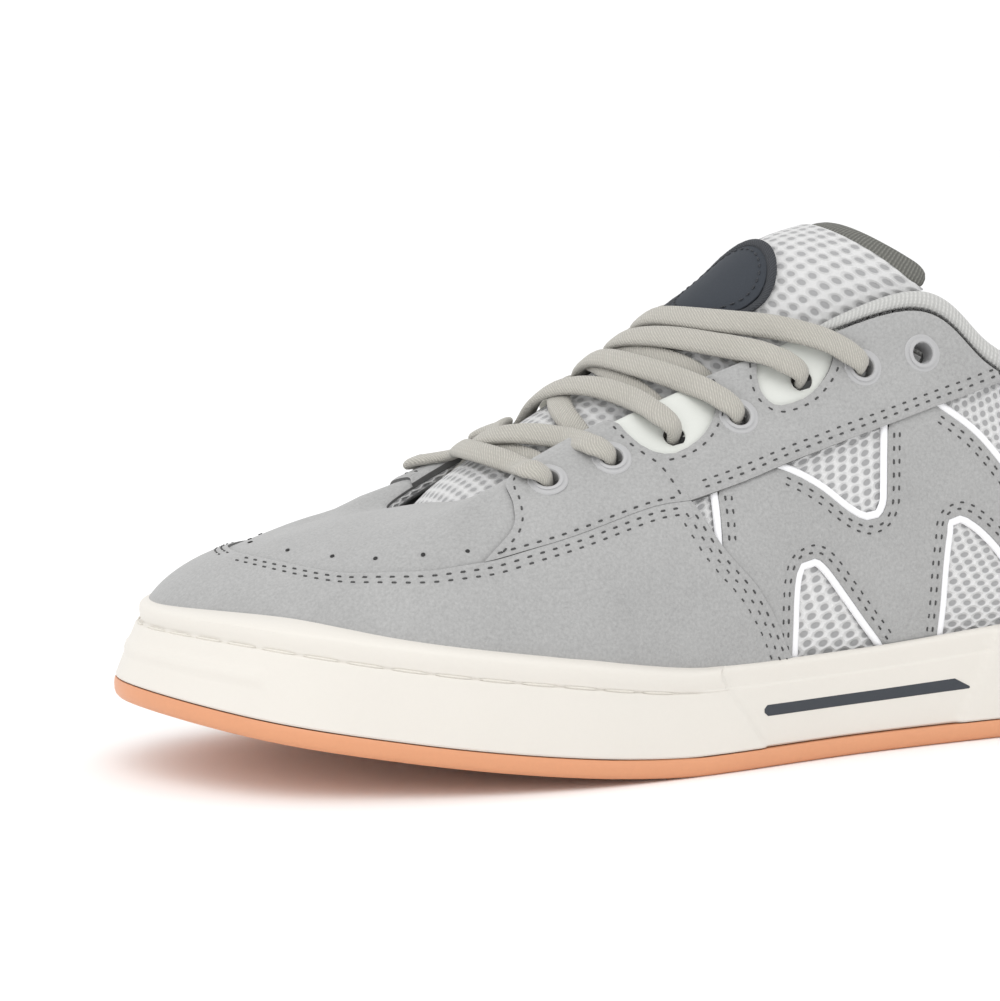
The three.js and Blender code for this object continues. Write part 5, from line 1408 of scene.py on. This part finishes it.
class SHOE_OT_laces(bpy.types.Operator):
    """One flat woven lace through the holes, crossing over the tongue"""
    bl_idname = "shoe.laces"
    bl_label = "Lace"

    def execute(self, context):
        ends = [self.strand(side) for side in (1, -1)]
        bar = self.bar()
        made = self.ribbon(ends[0][::-1] + bar + ends[1])
        finish(made, [look("lace")], "lace", *[f"lace_{k}" for k in range(1, 7)])
        return {"FINISHED"}

    def shell_stop(self, side, q, v, height, width=1.0):
        """A place over the shell, with the way the lace's flat face looks and its width there."""
        at = q if side > 0 else STATIONS - q
        out = normal(at, v)
        return shell(at, v) + out * height, normal(at, min(v, 0.72)), width

    def tongue_stop(self, side, s, u, height, width=1.0):
        return on_tongue(s, u * side, -height), tongue_normal(s, u * side + 0.12), width

    def hole(self, side, number, toward):
        """The stretch in a hole, from outside inwards. toward is the next place on the shell."""
        q, v, _ = HOLES[number]
        at = q if side > 0 else STATIONS - q
        out, middle = normal(at, v), shell(at, v)
        away = self.shell_stop(side, *toward, 0)[0] - middle
        away = unit(away - out * (away @ out))
        steps = [(5.6, 2.9, 1.0), (2.6, 2.7, 0.9), (0.7, 1.6, 0.78), (0.1, -0.6, 0.74), (0, -3.4, 0.72),
                 (0, -6.6, 0.85)]
        return [(middle + away * along + out * rise, out * (along > 2) - away * (along < 3), width)
                for along, rise, width in steps]

    def bar(self):
        shoe, tongue, crown = LACE_BAR
        halves = []
        for side in (1, -1):
            half = self.hole(side, 0, shoe[1])[::-1] + [self.shell_stop(side, *p,
                                                                        OVER_SUEDE) for p in shoe[1:]]
            halves.append(half + [self.tongue_stop(side, *p, HIGH) for p in tongue])
        return halves[0] + [self.tongue_stop(1, crown, 0, HIGH)] + halves[1][::-1]

    def strand(self, side):
        """From inside the front hole of one side to inside a top hole, crossing at every hole."""
        stops = []
        for number, (shoe, near, crown, far, dip) in enumerate(CROSSINGS, 1):
            over = side < 0
            q, v, _ = HOLES[number - 1]
            stops.append(self.shell_stop(side, (q + dip) / 2, v + 0.10, -6.4, 0.9))
            stops.append(self.shell_stop(side, dip, 0.985, -5.2, 0.98))
            stops += [self.tongue_stop(side, s, u, LOW + (0.9 if over and k else 0))
                      for k, (s, u) in enumerate(far[::-1])]
            stops.append(self.tongue_stop(1, crown, 0, HIGH if over else LOW))
            heights = [HIGH, HIGH, HIGH] if over else [HIGH, HIGH - 0.6, LOW + 0.4]
            stops += [self.tongue_stop(-side, s, u, h) for (s, u), h in zip(near[::-1], heights[::-1])]
            stops += [self.shell_stop(-side, *p, OVER_SUEDE) for p in shoe[:0:-1]]
            stops += self.hole(-side, number, shoe[1])
            side = -side
        return stops

    def ribbon(self, stops):
        points = np.array([p for p, _, _ in stops])
        stretches = spline(points, 0.9, least=3)
        marks = np.cumsum([0] + [len(stretch) for stretch in stretches])
        line = np.vstack(stretches + [points[-1:]])
        loose = [float(width == 1) for _, _, width in stops]
        free = np.interp(np.arange(len(line)), marks, loose)[1:-1, None]
        for _ in range(RELAX_ROUNDS):
            line[1:-1] += 0.5 * free * ((line[2:] + line[:-2]) / 2 - line[1:-1])
        along = unit(np.gradient(line, axis=0))
        carried = [unit(stops[0][1] - along[0] * (stops[0][1] @ along[0]))]
        for k in range(1, len(line)):
            up = carried[-1] - along[k] * (carried[-1] @ along[k])
            carried.append(unit(up))
        carried = np.array(carried)
        angles, last = [], 0.0
        for (_, facing, _), m in zip(stops, marks):
            want = unit(facing - along[m] * (facing @ along[m]))
            side = np.cross(along[m], carried[m])
            angle = math.atan2(want @ side, want @ carried[m])
            while angle - last > math.pi / 2:
                angle -= math.pi
            while last - angle > math.pi / 2:
                angle += math.pi
            angles.append(angle)
            last = angle
        spots = np.arange(len(line))
        turn = np.interp(spots, marks, angles)[:, None]
        wide = np.interp(spots, marks, [w for _, _, w in stops])[:, None, None]
        side = np.cross(along, carried)
        up = carried * np.cos(turn) + side * np.sin(turn)
        side = np.cross(along, up)
        profile = oval(bpy.context.scene.shoe_sizes.lace_width, LACE_THICKNESS * 0.92, 16, 0.8)
        across = side[:, None] * profile[None, :, :1] * wide
        rings = line[:, None] + across + up[:, None] * profile[None, :, 1:]
        return loft("woven_lace", rings, angle=60)


class SHOE_OT_pinholes(bpy.types.Operator):
    """Row of small perforations in the toe piece, each a near-black cone: painted shade in the hole"""
    bl_idname = "shoe.pinholes"
    bl_label = "Pinholes"

    def execute(self, context):
        parts = []
        turn = np.arange(12) * 2 * math.pi / 12
        for q, v in np.vstack([PINHOLES, flip(PINHOLES[1:])]):
            z = normal(q, v)
            x = unit(np.array([1.0, 0, 0]) - z * z[0])
            y = np.cross(z, x)
            base = shell(q, v)
            base = base - z * creased(base[None])[0]
            # Each pinhole is a small near-black cone sunk in the suede, painted shade in place of the open
            # hole.
            rings = [[base + (x * math.cos(a) + y * math.sin(a)) * r + z * h for a in turn]
                     for r, h in ((0.5, -1.0), (0.52, 0.1), (0.35, 0.06), (0.05, 0.0))]
            parts.append(loft("pin", np.array(rings)))
        finish(joined("toe_pinholes", parts), [look("dark")], "navy")
        return {"FINISHED"}


class SHOE_OT_stage(bpy.types.Operator):
    """Pale floor, soft studio light and the camera at the photograph's angle"""
    bl_idname = "shoe.stage"
    bl_label = "Stage"

    def execute(self, context):
        scene = context.scene
        stage = scene.shoe_stage
        bpy.ops.object.select_all(action="DESELECT")
        bpy.ops.mesh.primitive_plane_add(size=8, location=(0, 0, 0))
        floor = context.object
        floor.name = "floor"
        made = bpy.data.materials.new("Pale floor")
        made.use_nodes = True
        shader = made.node_tree.nodes["Principled BSDF"]
        shader.inputs["Base Color"].default_value = (0.96, 0.96, 0.96, 1)
        shader.inputs["Roughness"].default_value = 0.9
        floor.data.materials.append(made)
        turn, tilt, roll = math.radians(stage.turn), math.radians(stage.tilt), math.radians(stage.roll)
        back = Vector((math.sin(turn) * math.cos(tilt), math.cos(turn) * math.cos(tilt), math.sin(tilt)))
        target = Vector((-13.899, -168.484, 37.001)) * MM
        right = (-back).cross(Vector((0, 0, 1))).normalized()
        up = right.cross(-back)
        cos, sin = math.cos(roll), math.sin(roll)
        right, up = right * cos + up * sin, up * cos - right * sin
        bpy.ops.object.camera_add(location=target + back * stage.distance)
        camera = context.object
        facing = Matrix((right, up, back)).transposed().to_4x4()
        camera.matrix_world = Matrix.Translation(target + back * stage.distance) @ facing
        camera.data.lens = stage.lens
        camera.data.sensor_width = 36
        camera.data.clip_start = 0.02
        scene.camera = camera
        for name, place, size, power, colour in (
                ("key", (0.5, 0.9, 1.6), 1.2, 8, (1.0, 0.99, 0.97)),
                ("fill", (1.5, 0.4, 0.8), 1.4, 2.5, (0.98, 0.99, 1.0))):
            bpy.ops.object.light_add(type="AREA", location=place)
            light = context.object
            light.name = name
            light.data.energy = power
            light.data.size = size
            light.data.color = colour
            light.rotation_euler = (Vector((0, 0, 0.05)) - Vector(place)).to_track_quat("-Z", "Y").to_euler()
        world = bpy.data.worlds.new("Studio")
        scene.world = world
        world.use_nodes = True
        world.node_tree.nodes["Background"].inputs["Color"].default_value = (1, 1, 1, 1)
        world.node_tree.nodes["Background"].inputs["Strength"].default_value = stage.ambient
        scene.view_settings.view_transform = "Standard"
        return {"FINISHED"}


class ShoeSizes(bpy.types.PropertyGroup):
    """Sizes of the trimmings"""
    stitch_pitch: bpy.props.FloatProperty(name="Stitch pitch", description="From stitch to stitch, mm",
                                          default=3.2, min=1, max=6)
    stitch_length: bpy.props.FloatProperty(name="Stitch length", description="Seen length of a stitch, mm",
                                           default=1.4, min=0.5, max=4)
    piping_width: bpy.props.FloatProperty(name="Piping width", description="Width of the windows' piping, mm",
                                          default=2.0, min=0.5, max=4)
    lace_width: bpy.props.FloatProperty(name="Lace width", description="Width of the flat lace, mm",
                                        default=6.0, min=3, max=10)


class ShoeStage(bpy.types.PropertyGroup):
    """Camera and light"""
    turn: bpy.props.FloatProperty(name="Turn",
                                  description="Camera's angle from the outer side towards the toe, degrees",
                                  default=22.963)
    tilt: bpy.props.FloatProperty(name="Tilt", description="Camera's height angle, degrees",
                                  default=7.1496)
    roll: bpy.props.FloatProperty(name="Roll", description="Camera's roll, degrees",
                                  default=-0.5797)
    distance: bpy.props.FloatProperty(name="Distance", description="From the camera to its target",
                                      default=1.06774, unit="LENGTH")
    lens: bpy.props.FloatProperty(name="Lens", description="Focal length, mm",
                                  default=132.99)
    ambient: bpy.props.FloatProperty(name="Ambient light", description="Strength of the white surroundings",
                                     default=1.07)


def colour_property(name, description, value):
    return bpy.props.FloatVectorProperty(name=name, description=description, subtype="COLOR", size=3,
                                         default=value, min=0, max=1)


class ShoeColours(bpy.types.PropertyGroup):
    """Colours of the shoe, linear"""
    suede: colour_property("Suede", "Overlays", (0.355, 0.355, 0.353))
    mesh: colour_property("Mesh", "Cloth between the openings", (0.69, 0.69, 0.69))
    mesh_hole: colour_property("Mesh opening", "Layer seen through the openings", (0.33, 0.33, 0.335))
    lining: colour_property("Lining", "Inside and insole", (0.30, 0.30, 0.30))
    knit: colour_property("Knit", "Collar", (0.58, 0.58, 0.565))
    rubber: colour_property("Rubber", "Cupsole", (0.70, 0.67, 0.62))
    gum: colour_property("Gum", "Outsole", (0.66, 0.295, 0.15))
    navy: colour_property("Slate blue", "Stripes and patch", (0.030, 0.036, 0.046))
    thread: colour_property("Thread", "Stitches on the suede", (0.055, 0.055, 0.055))
    sole_thread: colour_property("Sole thread", "Stitches in the sole's groove", (0.68, 0.65, 0.59))
    patch_thread: colour_property("Patch thread", "Border of the patch", (0.05, 0.055, 0.065))
    piping: colour_property("Piping", "Edges of the windows", (0.86, 0.86, 0.88))
    tab: colour_property("Tab", "Smooth lace tabs", (0.66, 0.675, 0.64))
    eyelet: colour_property("Eyelet", "Rings", (0.42, 0.42, 0.425))
    lace: colour_property("Lace", "Woven lace", (0.53, 0.51, 0.46))
    webbing: colour_property("Webbing", "Top edge of the tongue", (0.21, 0.21, 0.19))


OPERATORS = (SHOE_OT_stage, SHOE_OT_sole, SHOE_OT_stripes, SHOE_OT_outsole, SHOE_OT_insole, SHOE_OT_upper,
             SHOE_OT_overlays, SHOE_OT_collar, SHOE_OT_tongue, SHOE_OT_eyelets, SHOE_OT_laces,
             SHOE_OT_pinholes)


class SHOE_PT_panel(bpy.types.Panel):
    """Lists the shoe's pieces in the sidebar"""
    bl_idname = "SHOE_PT_panel"
    bl_label = "Skateboarding shoe"
    bl_space_type = "VIEW_3D"
    bl_region_type = "UI"
    bl_category = "Shoe"

    def draw(self, context):
        for operator in OPERATORS:
            self.layout.operator(operator.bl_idname)
        for settings in (context.scene.shoe_sizes, context.scene.shoe_stage, context.scene.shoe_colours):
            for key in settings.__annotations__:
                self.layout.prop(settings, key)


CLASSES = (ShoeSizes, ShoeStage, ShoeColours, *OPERATORS, SHOE_PT_panel)


def register():
    for cls in CLASSES:
        bpy.utils.register_class(cls)
    bpy.types.Scene.shoe_sizes = bpy.props.PointerProperty(type=ShoeSizes)
    bpy.types.Scene.shoe_stage = bpy.props.PointerProperty(type=ShoeStage)
    bpy.types.Scene.shoe_colours = bpy.props.PointerProperty(type=ShoeColours)


def unregister():
    for key in ("shoe_sizes", "shoe_stage", "shoe_colours"):
        delattr(bpy.types.Scene, key)
    for cls in reversed(CLASSES):
        bpy.utils.unregister_class(cls)


def main():
    register()
    for operator in OPERATORS:
        getattr(bpy.ops.shoe, operator.bl_idname.split(".")[1])()


if __name__ == "__main__":
    main()
